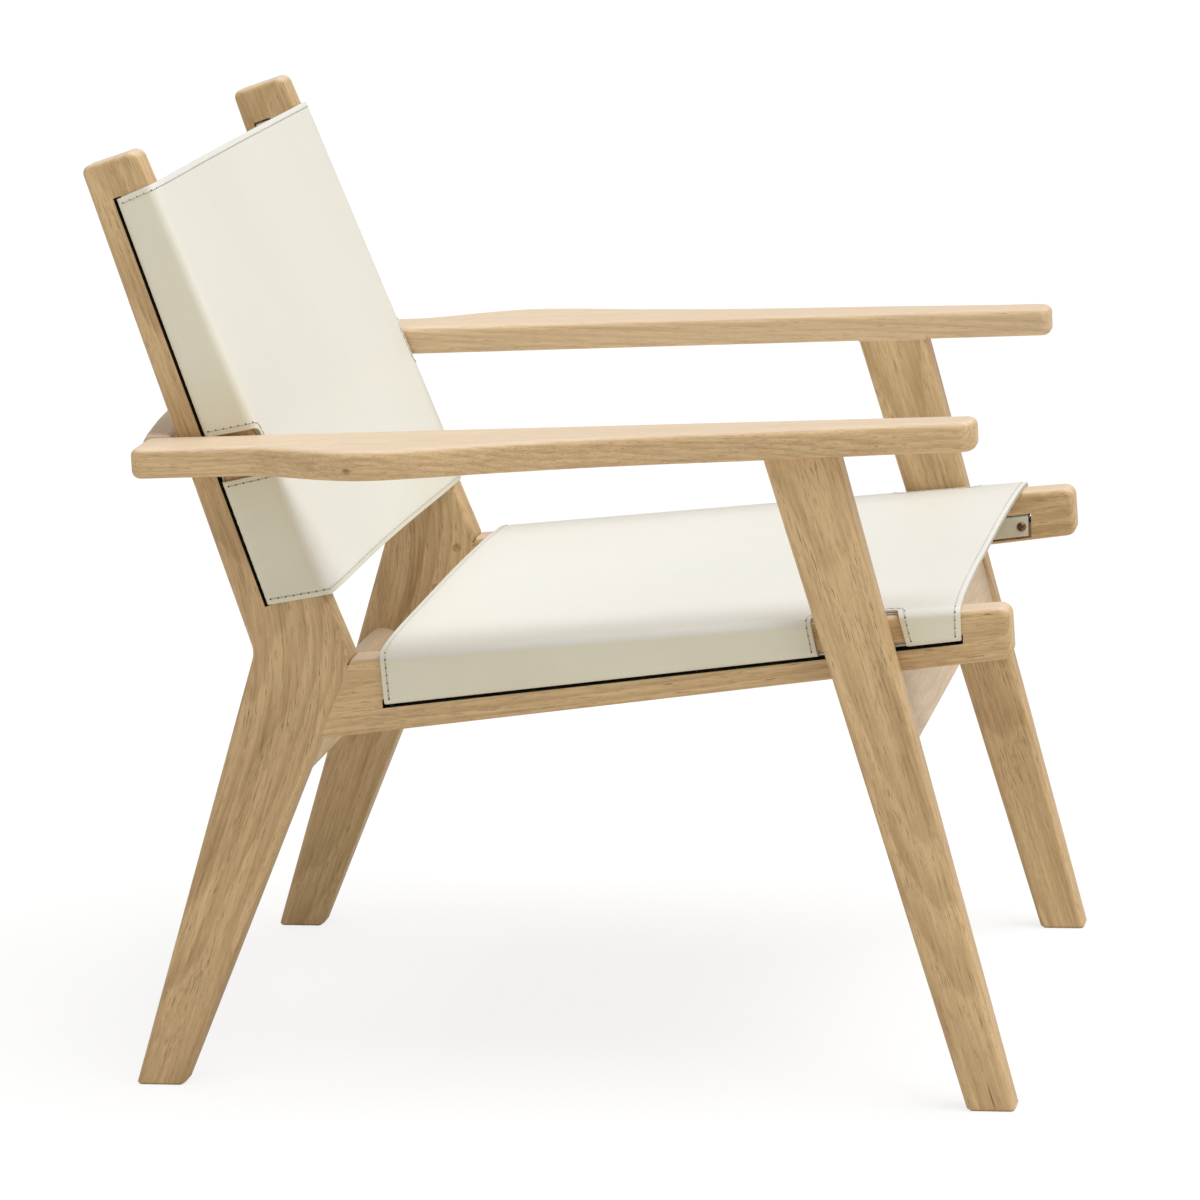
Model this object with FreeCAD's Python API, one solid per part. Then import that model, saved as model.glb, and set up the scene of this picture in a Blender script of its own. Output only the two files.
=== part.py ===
import FreeCAD
import Part
import math
import os

V = FreeCAD.Vector

# Low lounge chair in natural hardwood with two leather slings.
# Frame: +X is the way a sitter faces, +Y is the sitter's left, +Z is up.
# The origin is on the floor under the middle of the chair. Millimetres.
# Side view dimensions count x from halfway between the front and rear feet.

# Driving dimensions
HALF_WIDTH = 275.0          # middle of the chair to the outer face of a rear leg or seat rail
STOCK = 30.0                # thickness of legs and seat rails
ARRIS = 5.0                 # round-over along the edges of legs and rails
FOOT_CHAMFER = 2.0          # small chamfer round the sole of each foot
FORWARD = 5.6               # posts overhang the rear feet: moves the origin to the middle
INNER = HALF_WIDTH - STOCK  # inner face of rear legs and rails
OUTER = HALF_WIDTH + STOCK  # outer face of the front legs

# Rear leg, one bent board: foot, knee in front, top of the post, kink behind (x, z)
FOOT_BACK = (-359.0, 0.0)
FOOT_FRONT = (-319.5, 0.0)
KNEE = (-167.5, 353.0)
TOP_FRONT = (-326.0, 760.0)
TOP_BACK = (-371.0, 745.5)
KINK = (-247.0, 357.5)

# Seat rail: straight, rising and tapering to the front
RAIL_TOP_Z = 367.5          # height of the top edge at x = 0
RAIL_TOP_RISE = 0.0863
RAIL_LOW_Z = 312.0          # height of the bottom edge at x = 0
RAIL_LOW_RISE = 0.125
RAIL_END = 357.5            # front end of the rail

# Front leg: leans back to the arm and tapers to the foot
TOE_BACK = (320.0, 0.0)
TOE_FRONT = (358.5, 0.0)
HEAD_BACK_X = 169.5
HEAD_FRONT_X = 228.5

# Arm board
ARM_LOW_Z = 521.8           # underside where the front leg meets it
ARM_RISE = 0.027
ARM_JOINT_X = 199.0
ARM_THICK = 24.0
ARM_ARRIS = 6.0
ARM_BACK = -326.0
ARM_FRONT = 336.0
ARM_REAR_WIDTH = 60.0
ARM_PALM_WIDTH = 97.0       # widest place, just ahead of the post
ARM_NOSE_WIDTH = 36.0

# Curved rail behind the posts at arm height
BOW_END_X = -305.0          # front face where it meets the arms
BOW_DEPTH = 21.0            # how far the middle stands behind the ends
BOW_THICK = 24.0

# Cross rails
FRONT_STRETCHER_THICK = 22.0
FRONT_STRETCHER_LOW = 289.0
STRETCHER_SET_BACK = 3.0
REAR_STRETCHER_X = -254.0
REAR_STRETCHER_THICK = 30.0
REAR_STRETCHER_LOW = 226.0
REAR_STRETCHER_TOP = 272.0

# Leather slings and the slots that hold them
LEATHER = 4.0
EASE = 0.3                  # room between leather and wood
SLOT = 7.3
TAB = 14.0                  # turned-down end behind the slot
POST_TAB = 11.0
REBATE = 5.0                # recess for the tab in the inner face
SEAT_BACK = -142.0
SEAT_FRONT = 318.5
SEAT_SLOT_Z = 337.7         # upper lip of the slot at x = 0
SEAT_SLOT_RISE = 0.119
POST_SLOT_TOP = (-341.6, 721.1)
POST_SLOT_LOW = (-233.2, 397.4)
BACK_TOP_FOLD = (-313.6, 732.4)
BACK_LOW_FOLD = (-185.5, 404.0)
FOLD_RADIUS = 8.0

SLOT_ROOM = 1.5             # how far each slot runs on past the leather
WINDOW_ROOM = 9.0           # seat window, clear of the front leg on each side

# Joinery
TENON_THICK = 12.0
TENON_LONG = 42.0
TENON_FROM = 0.16           # rail tenon, as shares of its seam
TENON_TO = 0.84
HEAD_TENON_SHOULDER = 9.0   # front leg's tenon in from the faces, and its length
HEAD_TENON_LONG = 15.0
STUB_LONG = 18.0            # tenons of the stretchers
STUB_HALF = 18.0            # half the front stretcher tenon's height
STUB_HALF_THICK = 5.0
REAR_STUB_HALF_THICK = 6.0
PIN = 8.0
PIN_LONG = 24.0
DOWEL_HALF = 22.0           # each dowel reaches this far to both sides of the joint
BOLT = 6.0
BOLT_HEAD = 13.0
BOLT_HEAD_PLAY = 0.6
HEAD_DEEP = 5.0
HEAD_SUNK = 1.0
KEY = 2.3                   # socket of a bolt, middle to corner, and its depth
KEY_DEEP = 2.4
INSERT = 9.0
INSERT_SHORT = 8.0          # insert stops this far from the outer face
BOLT_SHORT = 9.0
SCREW_HEAD = 8.0
SCREW_DOME = 2.6
SCREW_CROSS = 1.1           # width of the cross slot
SCREW = 3.5
SCREW_LONG = 17.0
SCREW_PLAY = 1.0            # hole runs this far past the tip
SCREW_DOWN = 10.8           # seat screws, below the upper lip of the slot
SEAT_SCREW_END = 7.0        # first and last seat screw, in from the leather's edges
SEAT_SCREW_COUNT = 7
BACK_SCREW_SHARES = (0.03, 0.2, 0.34, 0.5, 0.66, 0.82, 0.97)
TAB_AT = INNER + 0.5        # inner face of a tab
TAB_PLAY = 1.0              # recess is this much longer than the tab

os.makedirs("parts", exist_ok=True)


# Helpers
def unit(a, b):
    """Unit vector in the side view from a to b."""
    length = math.hypot(b[0] - a[0], b[1] - a[1])
    return ((b[0] - a[0]) / length, (b[1] - a[1]) / length)


def along(a, b, t):
    """Point at the share t of the way from a to b."""
    return (a[0] + (b[0] - a[0]) * t, a[1] + (b[1] - a[1]) * t)


def shifted(p, direction, distance):
    return (p[0] + direction[0] * distance, p[1] + direction[1] * distance)


def x_at(a, b, z):
    """Where the line through a and b reaches the height z."""
    return a[0] + (b[0] - a[0]) * (z - a[1]) / (b[1] - a[1])


def meet(a, b, c, d):
    """Crossing of the lines a-b and c-d."""
    r = (b[0] - a[0], b[1] - a[1])
    s = (d[0] - c[0], d[1] - c[1])
    t = ((c[0] - a[0]) * s[1] - (c[1] - a[1]) * s[0]) / (r[0] * s[1] - r[1] * s[0])
    return (a[0] + r[0] * t, a[1] + r[1] * t)


def outline(corners, place):
    """Closed wire through corners (u, v, radius), each corner rounded by its radius."""
    edges = []
    joints = []
    count = len(corners)
    for i in range(count):
        p = corners[i][:2]
        radius = corners[i][2]
        before = unit(p, corners[i - 1][:2])
        after = unit(p, corners[(i + 1) % count][:2])
        if radius == 0:
            joints.append((p, p, None))
            continue
        half = math.acos(before[0] * after[0] + before[1] * after[1]) / 2
        reach = radius / math.tan(half)
        start = shifted(p, before, reach)
        end = shifted(p, after, reach)
        middle = unit((0, 0), (before[0] + after[0], before[1] + after[1]))
        crown = shifted(p, middle, radius / math.sin(half) - radius)
        joints.append((start, end, crown))
    for i in range(count):
        start, end, crown = joints[i]
        if crown is not None:
            edges.append(Part.Arc(place(start), place(crown), place(end)).toShape())
        following = joints[(i + 1) % count][0]
        edges.append(Part.LineSegment(place(end), place(following)).toShape())
    return Part.Wire(edges)


def board(corners, y0, y1):
    """Board cut to a side outline (x, z, radius), from y0 to y1."""
    wire = outline(corners, lambda p: V(p[0], y0, p[1]))
    return Part.Face(wire).extrude(V(0, y1 - y0, 0))


def plate(points, y0, y1):
    return board([(p[0], p[1], 0) for p in points], y0, y1)


def soften(solid, radius, faces_y, wanted=lambda middle: True):
    """Round the edges that lie in the side faces y = faces_y and that wanted accepts."""
    edges = []
    for edge in solid.Edges:
        middle = edge.valueAt((edge.FirstParameter + edge.LastParameter) / 2)
        on_face = any(all(abs(v.Y - y) < 0.01 for v in edge.Vertexes) for y in faces_y)
        if on_face and wanted(middle):
            edges.append(edge)
    return solid.makeFillet(radius, edges)


def chamfer_sole(leg):
    """Small chamfer round the flat under a foot."""
    sole = min(leg.Faces, key=lambda face: face.CenterOfMass.z)
    return leg.makeChamfer(FOOT_CHAMFER, sole.Edges)


def rod(x, z, y0, y1, diameter):
    """Round bar across the chair from y0 to y1."""
    return Part.makeCylinder(diameter / 2, abs(y1 - y0), V(x, min(y0, y1), z), V(0, 1, 0))


def mirrored(shape):
    return shape.mirror(V(0, 0, 0), V(0, 1, 0))


def save(shape, name):
    """Write one node, whose pieces are all closed solids."""
    assert shape.isValid(), name
    assert shape.Solids, name
    placed = shape.translated(V(FORWARD, 0, 0))
    placed.exportStep("parts/" + name + ".step")


def save_pair(shape, name):
    save(shape, "left_" + name)
    save(mirrored(shape), "right_" + name)


# Side view lines of the seat rail
def rail_top(x):
    return (x, RAIL_TOP_Z + RAIL_TOP_RISE * x)


def rail_low(x):
    return (x, RAIL_LOW_Z + RAIL_LOW_RISE * x)


def seat_slot(x, below=0.0):
    return (x, SEAT_SLOT_Z + SEAT_SLOT_RISE * x - below)


def arm_low(x):
    return (x, ARM_LOW_Z + ARM_RISE * (x - ARM_JOINT_X))


SEAM_LOW = meet(FOOT_FRONT, KNEE, rail_low(0), rail_low(100))
RAIL_WAY = unit(rail_low(0), rail_low(100))
SEAM_WAY = unit(FOOT_FRONT, KNEE)
INTO_LEG = (-SEAM_WAY[1], SEAM_WAY[0])

# Seat rail: tenon
SEAM_MID = along(SEAM_LOW, KNEE, 0.5)
TENON_LOW = along(SEAM_LOW, KNEE, TENON_FROM)
TENON_TOP = along(SEAM_LOW, KNEE, TENON_TO)
TENON_Y = (INNER + (STOCK - TENON_THICK) / 2, INNER + (STOCK + TENON_THICK) / 2)


def back_by(p, distance):
    return shifted(p, RAIL_WAY, -distance)


tenon = plate([TENON_LOW, TENON_TOP, back_by(TENON_TOP, TENON_LONG), back_by(TENON_LOW, TENON_LONG)],
              *TENON_Y)

# Pins through the leg and the tenon, put in from the inner face
PIN_PLACES = [(-185.0, 344.0), (-205.0, 308.0)]
pins = [rod(x, z, INNER, INNER + PIN_LONG, PIN) for x, z in PIN_PLACES]


# Slots for the slings, with the recess for the tab on the inner face
def seat_slot_tool():
    """Through slot and tab recess in the seat rail."""
    x0 = SEAT_BACK - SLOT_ROOM
    x1 = SEAT_FRONT + SLOT_ROOM
    through = plate([seat_slot(x0), seat_slot(x1), seat_slot(x1, SLOT), seat_slot(x0, SLOT)],
                    INNER - 1, HALF_WIDTH + 1)
    low = SLOT + TAB
    recess = plate([seat_slot(x0), seat_slot(x1), seat_slot(x1, low), seat_slot(x0, low)],
                   INNER - 1, INNER + REBATE)
    return through.fuse(recess)


POST_WAY = unit(POST_SLOT_LOW, POST_SLOT_TOP)
POST_BACK = (-POST_WAY[1], POST_WAY[0])
SLOT_AHEAD = LEATHER        # share of the post slot that the flap covers


def post_slot(t, behind=0.0, past=0.0):
    """Point on the line of the post slot; behind is measured to the rear of the flap's edge."""
    p = along(POST_SLOT_LOW, POST_SLOT_TOP, t)
    p = shifted(p, POST_WAY, past)
    return shifted(p, POST_BACK, behind)


def post_slot_tool():
    """Through slot and tab recess in the back post."""
    near = -SLOT_AHEAD
    far = SLOT - SLOT_AHEAD
    grow = SLOT_ROOM
    through = plate([post_slot(0, near, -grow), post_slot(1, near, grow),
                     post_slot(1, far, grow), post_slot(0, far, -grow)], INNER - 1, HALF_WIDTH + 1)
    recess = plate([post_slot(0, near, -grow), post_slot(1, near, grow),
                    post_slot(1, POST_TAB, grow), post_slot(0, POST_TAB, -grow)],
                   INNER - 1, INNER + REBATE)
    return through.fuse(recess)


# Rear leg and back post in one board
leg_corners = [(*FOOT_BACK, 0), (*FOOT_FRONT, 0), (*KNEE, 6.5), (*TOP_FRONT, 8), (*TOP_BACK, 6.5),
               (*KINK, 22)]
sharp_leg = board(leg_corners, INNER, HALF_WIDTH)
rear_leg = soften(sharp_leg, ARRIS, (INNER, HALF_WIDTH), lambda middle: middle.z > 1)
rear_leg = chamfer_sole(rear_leg)
seam_top = shifted(KNEE, SEAM_WAY, -6)
seam_pad = plate([SEAM_LOW, seam_top, shifted(seam_top, INTO_LEG, 7), shifted(SEAM_LOW, INTO_LEG, 7)],
                 INNER, HALF_WIDTH).common(sharp_leg)
rear_leg = rear_leg.fuse(seam_pad).removeSplitter()
rear_leg = rear_leg.cut(tenon).cut(post_slot_tool())
for pin in pins:
    rear_leg = rear_leg.cut(pin)

# Rear stretcher: upright board with a fully rounded top, tenoned into the rear legs
half = REAR_STRETCHER_THICK / 2
crown = half - 0.01
rear_stretcher_corners = [(REAR_STRETCHER_X - half, REAR_STRETCHER_LOW, 4),
                          (REAR_STRETCHER_X + half, REAR_STRETCHER_LOW, 4),
                          (REAR_STRETCHER_X + half, REAR_STRETCHER_TOP, crown),
                          (REAR_STRETCHER_X - half, REAR_STRETCHER_TOP, crown)]
rear_stretcher = board(rear_stretcher_corners, -INNER, INNER)
tenon_low = REAR_STRETCHER_LOW + 8
tenon_top = REAR_STRETCHER_TOP - 12
tenon_back = REAR_STRETCHER_X - REAR_STUB_HALF_THICK
tenon_front = REAR_STRETCHER_X + REAR_STUB_HALF_THICK
rear_tenon = plate([(tenon_back, tenon_low), (tenon_front, tenon_low), (tenon_front, tenon_top),
                    (tenon_back, tenon_top)], INNER, INNER + STUB_LONG)
rear_stretcher = rear_stretcher.fuse([rear_tenon, mirrored(rear_tenon)]).removeSplitter()
rear_leg = rear_leg.cut(rear_tenon)

# Front leg
HEAD_BACK = arm_low(HEAD_BACK_X)
HEAD_FRONT = arm_low(HEAD_FRONT_X)
front_leg = plate([TOE_BACK, TOE_FRONT, HEAD_FRONT, HEAD_BACK], HALF_WIDTH, OUTER)
front_leg = soften(front_leg, ARRIS, (HALF_WIDTH, OUTER),
                   lambda middle: 1 < middle.z < ARM_LOW_Z - 5)
front_leg = chamfer_sole(front_leg)
LEG_UP = unit(TOE_FRONT, HEAD_FRONT)
head_from = along(HEAD_BACK, HEAD_FRONT, 0.17)
head_to = along(HEAD_BACK, HEAD_FRONT, 0.83)
head_tenon = plate([head_from, head_to, shifted(head_to, (0, 1), HEAD_TENON_LONG),
                    shifted(head_from, (0, 1), HEAD_TENON_LONG)],
                   HALF_WIDTH + HEAD_TENON_SHOULDER, OUTER - HEAD_TENON_SHOULDER)
front_leg = front_leg.fuse(head_tenon).removeSplitter()

# Front stretcher: leans with the front legs, under the seat rails, tenoned into the legs
LEG_BACKWARD = (-LEG_UP[1], LEG_UP[0])
face_foot = shifted(TOE_FRONT, LEG_BACKWARD, STRETCHER_SET_BACK)
face_head = shifted(face_foot, LEG_UP, 500)
low_front = (x_at(face_foot, face_head, FRONT_STRETCHER_LOW), FRONT_STRETCHER_LOW)
low_back = shifted(low_front, LEG_BACKWARD, FRONT_STRETCHER_THICK)
top_front = meet(face_foot, face_head, rail_low(0), rail_low(100))
top_back = meet(low_back, shifted(low_back, LEG_UP, 50), rail_low(0), rail_low(100))
front_stretcher = board([(*low_back, 4), (*low_front, 4), (*top_front, 2.5), (*top_back, 2.5)],
                        -HALF_WIDTH, HALF_WIDTH)
stretcher_mid = along(along(low_front, low_back, 0.5), along(top_front, top_back, 0.5), 0.5)
stub = []
for across, up in ((-1, -1), (1, -1), (1, 1), (-1, 1)):
    level = shifted(stretcher_mid, LEG_UP, up * STUB_HALF)
    stub.append(shifted(level, LEG_BACKWARD, across * STUB_HALF_THICK))
front_tenon = plate(stub, HALF_WIDTH, HALF_WIDTH + STUB_LONG)
front_stretcher = front_stretcher.fuse([front_tenon, mirrored(front_tenon)]).removeSplitter()
front_leg = front_leg.cut(front_tenon)

# Seat rail
seat_rail = board([(*SEAM_LOW, 0), (*KNEE, 0), (*rail_top(RAIL_END - 1), 9), (*rail_low(RAIL_END + 1), 8)],
                  INNER, HALF_WIDTH)
seam_x = SEAM_MID[0]
seat_rail = soften(seat_rail, ARRIS, (INNER, HALF_WIDTH), lambda middle: abs(middle.x - seam_x) > 5)
seat_rail = seat_rail.fuse(tenon).removeSplitter()
seat_rail = seat_rail.cut(seat_slot_tool())
for pin in pins:
    seat_rail = seat_rail.cut(pin)

# Bolts from the inner face of the rail into threaded inserts in the front leg
LEG_BOLTS = [(228.0, 375.5), (252.0, 377.5)]
ARM_BOLT = (-252.0, 520.5)


def bolt(x, z):
    """Socket-head furniture bolt: flat head let into the inner face, shank to the insert."""
    head = rod(x, z, INNER + HEAD_SUNK, INNER + HEAD_DEEP, BOLT_HEAD - BOLT_HEAD_PLAY)
    socket = Part.makePolygon([V(x + KEY * math.cos(math.radians(60 * k)), INNER + HEAD_SUNK,
                                 z + KEY * math.sin(math.radians(60 * k))) for k in range(7)])
    socket = Part.Face(socket).extrude(V(0, KEY_DEEP, 0))
    shank = rod(x, z, INNER + HEAD_DEEP, OUTER - BOLT_SHORT, BOLT)
    return head.fuse(shank).removeSplitter().cut(socket)


def insert(x, z):
    """Plain threaded insert, bored for the bolt and closed at its deep end."""
    barrel = rod(x, z, HALF_WIDTH, OUTER - INSERT_SHORT, INSERT)
    return barrel.cut(rod(x, z, HALF_WIDTH, OUTER - BOLT_SHORT, BOLT))


def bolt_holes(x, z):
    """Counterbore and shank hole through the inner board."""
    return rod(x, z, INNER, INNER + HEAD_DEEP, BOLT_HEAD).fuse(rod(x, z, INNER, HALF_WIDTH, BOLT))


def insert_hole(x, z):
    return rod(x, z, HALF_WIDTH, OUTER - INSERT_SHORT, INSERT)


for x, z in LEG_BOLTS:
    seat_rail = seat_rail.cut(bolt_holes(x, z))
    front_leg = front_leg.cut(insert_hole(x, z))
rear_leg = rear_leg.cut(bolt_holes(*ARM_BOLT))


# Arm: flat board, straight inside, flared outside, lying on the rise of the arm
def arm_tangents(points):
    """Direction at each point along the way between its neighbours; the two ends run level."""
    ways = [V(1, 0, 0)]
    for before, after in zip(points, points[2:]):
        ways.append(V(*unit(before, after), 0))
    ways.append(V(1, 0, 0))
    return ways


def arm_edge():
    """Outer edge: straight behind, a quick swell to the palm, a long hollow to the nose."""
    rear = HALF_WIDTH + ARM_REAR_WIDTH
    palm = HALF_WIDTH + ARM_PALM_WIDTH
    nose = HALF_WIDTH + ARM_NOSE_WIDTH
    points = [(-236, rear), (-212, rear + 6), (-165, palm - 8), (-133, palm), (-95, palm - 5),
              (-30, palm - 21), (60, palm - 37), (190, nose + 12), (ARM_FRONT - 14, nose)]
    curve = Part.BSplineCurve()
    curve.interpolate([V(x, y, 0) for x, y in points], Tangents=arm_tangents(points),
                      TangentFlags=[True] * len(points))
    return curve.toShape(), points[0], points[-1]


curve, curve_from, curve_to = arm_edge()
corner = 9.0
side = math.sqrt(0.5)
arm_in = HALF_WIDTH


def arc(x, y, radius, degrees):
    """Quarter arc about x, y whose middle stands at the given angle."""
    ends = [math.radians(degrees + turn) for turn in (-45, 0, 45)]
    return Part.Arc(*[V(x + radius * math.cos(a), y + radius * math.sin(a), 0) for a in ends]).toShape()


nose_y = curve_to[1]
nose_run = ARM_FRONT - curve_to[0]
nose_arc = Part.Arc(V(curve_to[0], nose_y, 0),
                    V(ARM_FRONT - nose_run * (1 - side), nose_y - nose_run * (1 - side), 0),
                    V(ARM_FRONT, nose_y - nose_run, 0)).toShape()
plan = [curve, nose_arc,
        Part.LineSegment(V(ARM_FRONT, nose_y - nose_run, 0), V(ARM_FRONT, arm_in + corner, 0)).toShape(),
        arc(ARM_FRONT - corner, arm_in + corner, corner, -45),
        Part.LineSegment(V(ARM_FRONT - corner, arm_in, 0), V(ARM_BACK + corner, arm_in, 0)).toShape(),
        arc(ARM_BACK + corner, arm_in + corner, corner, -135),
        Part.LineSegment(V(ARM_BACK, arm_in + corner, 0), V(ARM_BACK, curve_from[1] - corner, 0)).toShape(),
        arc(ARM_BACK + corner, curve_from[1] - corner, corner, 135),
        Part.LineSegment(V(ARM_BACK + corner, curve_from[1], 0), V(*curve_from, 0)).toShape()]
arm = Part.Face(Part.Wire(Part.__sortEdges__(plan))).extrude(V(0, 0, ARM_THICK))
rims = [edge for edge in arm.Edges if abs(edge.Vertexes[0].Z - edge.Vertexes[-1].Z) < 0.01]
arm = arm.makeFillet(ARM_ARRIS, rims)


def laid_on_rise(shape):
    """Lay a flat shape on the sloping plane of the arms' undersides."""
    shape = shape.copy()
    shape.translate(V(0, 0, ARM_LOW_Z))
    shape.rotate(V(ARM_JOINT_X, 0, ARM_LOW_Z), V(0, 1, 0), -math.degrees(math.atan(ARM_RISE)))
    return shape


arm = laid_on_rise(arm)

# Flat landing under the arm, where the round-over stops at the front leg
leg_head = plate([HEAD_BACK, HEAD_FRONT, (HEAD_FRONT[0] - 1.5, HEAD_FRONT[1] + 6.5),
                  (HEAD_BACK[0] - 1.5, HEAD_BACK[1] + 6.5)], HALF_WIDTH, OUTER)
arm = arm.fuse(leg_head).removeSplitter().cut(head_tenon)
arm = arm.cut(insert_hole(*ARM_BOLT))

# Bowed rail behind the posts
bow_ends = [(BOW_END_X, HALF_WIDTH), (BOW_END_X - BOW_DEPTH, 0.0), (BOW_END_X, -HALF_WIDTH)]
front_arc = Part.Arc(*[V(x, y, 0) for x, y in bow_ends]).toShape()
back_arc = Part.Arc(*[V(x - BOW_THICK, y, 0) for x, y in bow_ends]).toShape()
ends = [Part.LineSegment(V(BOW_END_X, y, 0), V(BOW_END_X - BOW_THICK, y, 0)).toShape()
        for y in (HALF_WIDTH, -HALF_WIDTH)]
bow = Part.Face(Part.Wire(Part.__sortEdges__([front_arc, back_arc, *ends])))
bow = bow.extrude(V(0, 0, ARM_THICK))
long_edges = [edge for edge in bow.Edges if edge.Length > HALF_WIDTH]
bow = laid_on_rise(bow.makeFillet(ARRIS, long_edges))
dowel_places = []
for back in (7.0, 17.0):
    x = BOW_END_X - back
    dowel_places.append((x, arm_low(x)[1] + ARM_THICK / 2))
dowels = [rod(x, z, HALF_WIDTH - DOWEL_HALF, HALF_WIDTH + DOWEL_HALF, BOLT) for x, z in dowel_places]
for dowel in dowels:
    bow = bow.cut(dowel).cut(mirrored(dowel))
    arm = arm.cut(dowel)


# Slings: each one hide that folds over the wood, goes through the slot and ends in a tab
def outer_folds(sling, out, wanted):
    """Long outer edges of a sling, at y = +out and -out, whose middle wanted accepts."""
    folds = []
    for edge in sling.Edges:
        middle = edge.CenterOfMass
        if edge.Length > 300 and abs(abs(middle.y) - out) < 0.01 and wanted(middle):
            folds.append(edge)
    return folds


def seat_sling():
    """Seat leather as a plain solid."""
    def level(x, z):
        return (x, rail_top(x)[1] + z)
    out0 = HALF_WIDTH + EASE
    out1 = out0 + LEATHER
    x0 = SEAT_BACK
    x1 = SEAT_FRONT
    top = [level(x0, EASE), level(x1, EASE), level(x1, EASE + LEATHER), level(x0, EASE + LEATHER)]
    gap = EASE
    sheet = plate(top, -out1, out1)
    flap = plate([seat_slot(x0, gap + LEATHER), seat_slot(x1, gap + LEATHER), top[2], top[3]], out0, out1)
    web = plate([seat_slot(x0, gap), seat_slot(x1, gap), seat_slot(x1, gap + LEATHER),
                 seat_slot(x0, gap + LEATHER)], TAB_AT, out1)
    tab_end = SLOT + TAB - TAB_PLAY
    tab = plate([seat_slot(x0, gap), seat_slot(x1, gap), seat_slot(x1, tab_end),
                 seat_slot(x0, tab_end)], TAB_AT, TAB_AT + LEATHER)
    # notch round the front leg
    leg_at = [x_at(TOE_BACK, HEAD_BACK, 360) - WINDOW_ROOM, x_at(TOE_FRONT, HEAD_FRONT, 360) + WINDOW_ROOM]
    lean = 40 * LEG_UP[0] / LEG_UP[1]
    notch = plate([(leg_at[0] - lean, 320), (leg_at[1] - lean, 320), (leg_at[1] + 0.9 * lean, 396),
                   (leg_at[0] + 0.9 * lean, 396)], HALF_WIDTH - 4, out1 + 1)
    sling = sheet
    for piece in (flap, web, tab):
        sling = sling.fuse([piece, mirrored(piece)])
    sling = sling.removeSplitter()
    folds = outer_folds(sling, out1, lambda middle: middle.z > rail_top(middle.x)[1] + LEATHER)
    sling = sling.makeFillet(FOLD_RADIUS, folds)
    return sling.cut(notch).cut(mirrored(notch))


def back_sling():
    """Back leather as a plain solid."""
    out0 = HALF_WIDTH + EASE
    out1 = out0 + LEATHER
    front_way = unit(KNEE, TOP_FRONT)
    forward = (front_way[1], -front_way[0])
    low = shifted(meet(KNEE, TOP_FRONT, BACK_LOW_FOLD, POST_SLOT_LOW), forward, EASE)
    top = shifted(meet(KNEE, TOP_FRONT, BACK_TOP_FOLD, POST_SLOT_TOP), forward, EASE)
    low_face = shifted(low, forward, LEATHER)
    top_face = shifted(top, forward, LEATHER)
    sheet = plate([low, low_face, top_face, top], -out1, out1)
    flap = plate([post_slot(0), low_face, top_face, post_slot(1)], out0, out1)
    rear = 0.5
    ahead_of = rear - LEATHER
    tab_end = POST_TAB - TAB_PLAY
    web = plate([post_slot(0, ahead_of), post_slot(0, rear), post_slot(1, rear), post_slot(1, ahead_of)],
                TAB_AT, out1)
    tab = plate([post_slot(0, ahead_of), post_slot(0, tab_end), post_slot(1, tab_end),
                 post_slot(1, ahead_of)], TAB_AT, TAB_AT + LEATHER)
    # notch round the arm
    behind = post_slot(0.5, 20)[0]
    ahead = x_at(KNEE, TOP_FRONT, arm_low(-250)[1]) - 2
    notch = plate([(behind - 20, 495), (ahead + 4, 500), (ahead - 6, 538), (behind - 40, 532)],
                  HALF_WIDTH, out1 + 1)
    sling = sheet
    for piece in (flap, web, tab):
        sling = sling.fuse([piece, mirrored(piece)])
    sling = sling.removeSplitter()
    folds = outer_folds(sling, out1, lambda middle: middle.x > x_at(KNEE, TOP_FRONT, middle.z) + 3)
    sling = sling.makeFillet(FOLD_RADIUS, folds)
    return sling.cut(notch).cut(mirrored(notch))


# Round-head screws that hold the tabs
def screw(x, z):
    """Round-head wood screw with a cross slot, head on the tab, shank into the wood."""
    face = TAB_AT
    radius = SCREW_HEAD * 0.62
    ball = Part.makeSphere(radius, V(x, face - SCREW_DOME + radius, z))
    cap = ball.common(rod(x, z, face - SCREW_DOME, face, SCREW_HEAD))
    long = SCREW_HEAD
    wide = SCREW_CROSS
    top = face - SCREW_DOME - 0.1
    groove = Part.makeBox(long, wide, wide, V(x - long / 2, top, z - wide / 2))
    cross = Part.makeBox(wide, wide, long, V(x - wide / 2, top, z - long / 2))
    shank = rod(x, z, face, face + SCREW_LONG, SCREW)
    return cap.fuse(shank).removeSplitter().cut(groove).cut(cross)


def screw_hole(x, z):
    return rod(x, z, INNER - 1, TAB_AT + SCREW_LONG + SCREW_PLAY, SCREW)


SEAT_SCREWS = []
for k in range(SEAT_SCREW_COUNT):
    share = k / (SEAT_SCREW_COUNT - 1)
    x = SEAT_BACK + SEAT_SCREW_END + share * (SEAT_FRONT - SEAT_BACK - 2 * SEAT_SCREW_END)
    SEAT_SCREWS.append((x, seat_slot(x, SCREW_DOWN)[1]))
BACK_SCREWS = []
for t in BACK_SCREW_SHARES:
    BACK_SCREWS.append(post_slot(t, POST_TAB / 2 - 0.5))

seat = seat_sling()
back = back_sling()
for x, z in SEAT_SCREWS:
    hole = screw_hole(x, z)
    seat_rail = seat_rail.cut(hole)
    seat = seat.cut(hole).cut(mirrored(hole))
for x, z in BACK_SCREWS:
    hole = screw_hole(x, z)
    rear_leg = rear_leg.cut(hole)
    back = back.cut(hole).cut(mirrored(hole))

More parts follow.
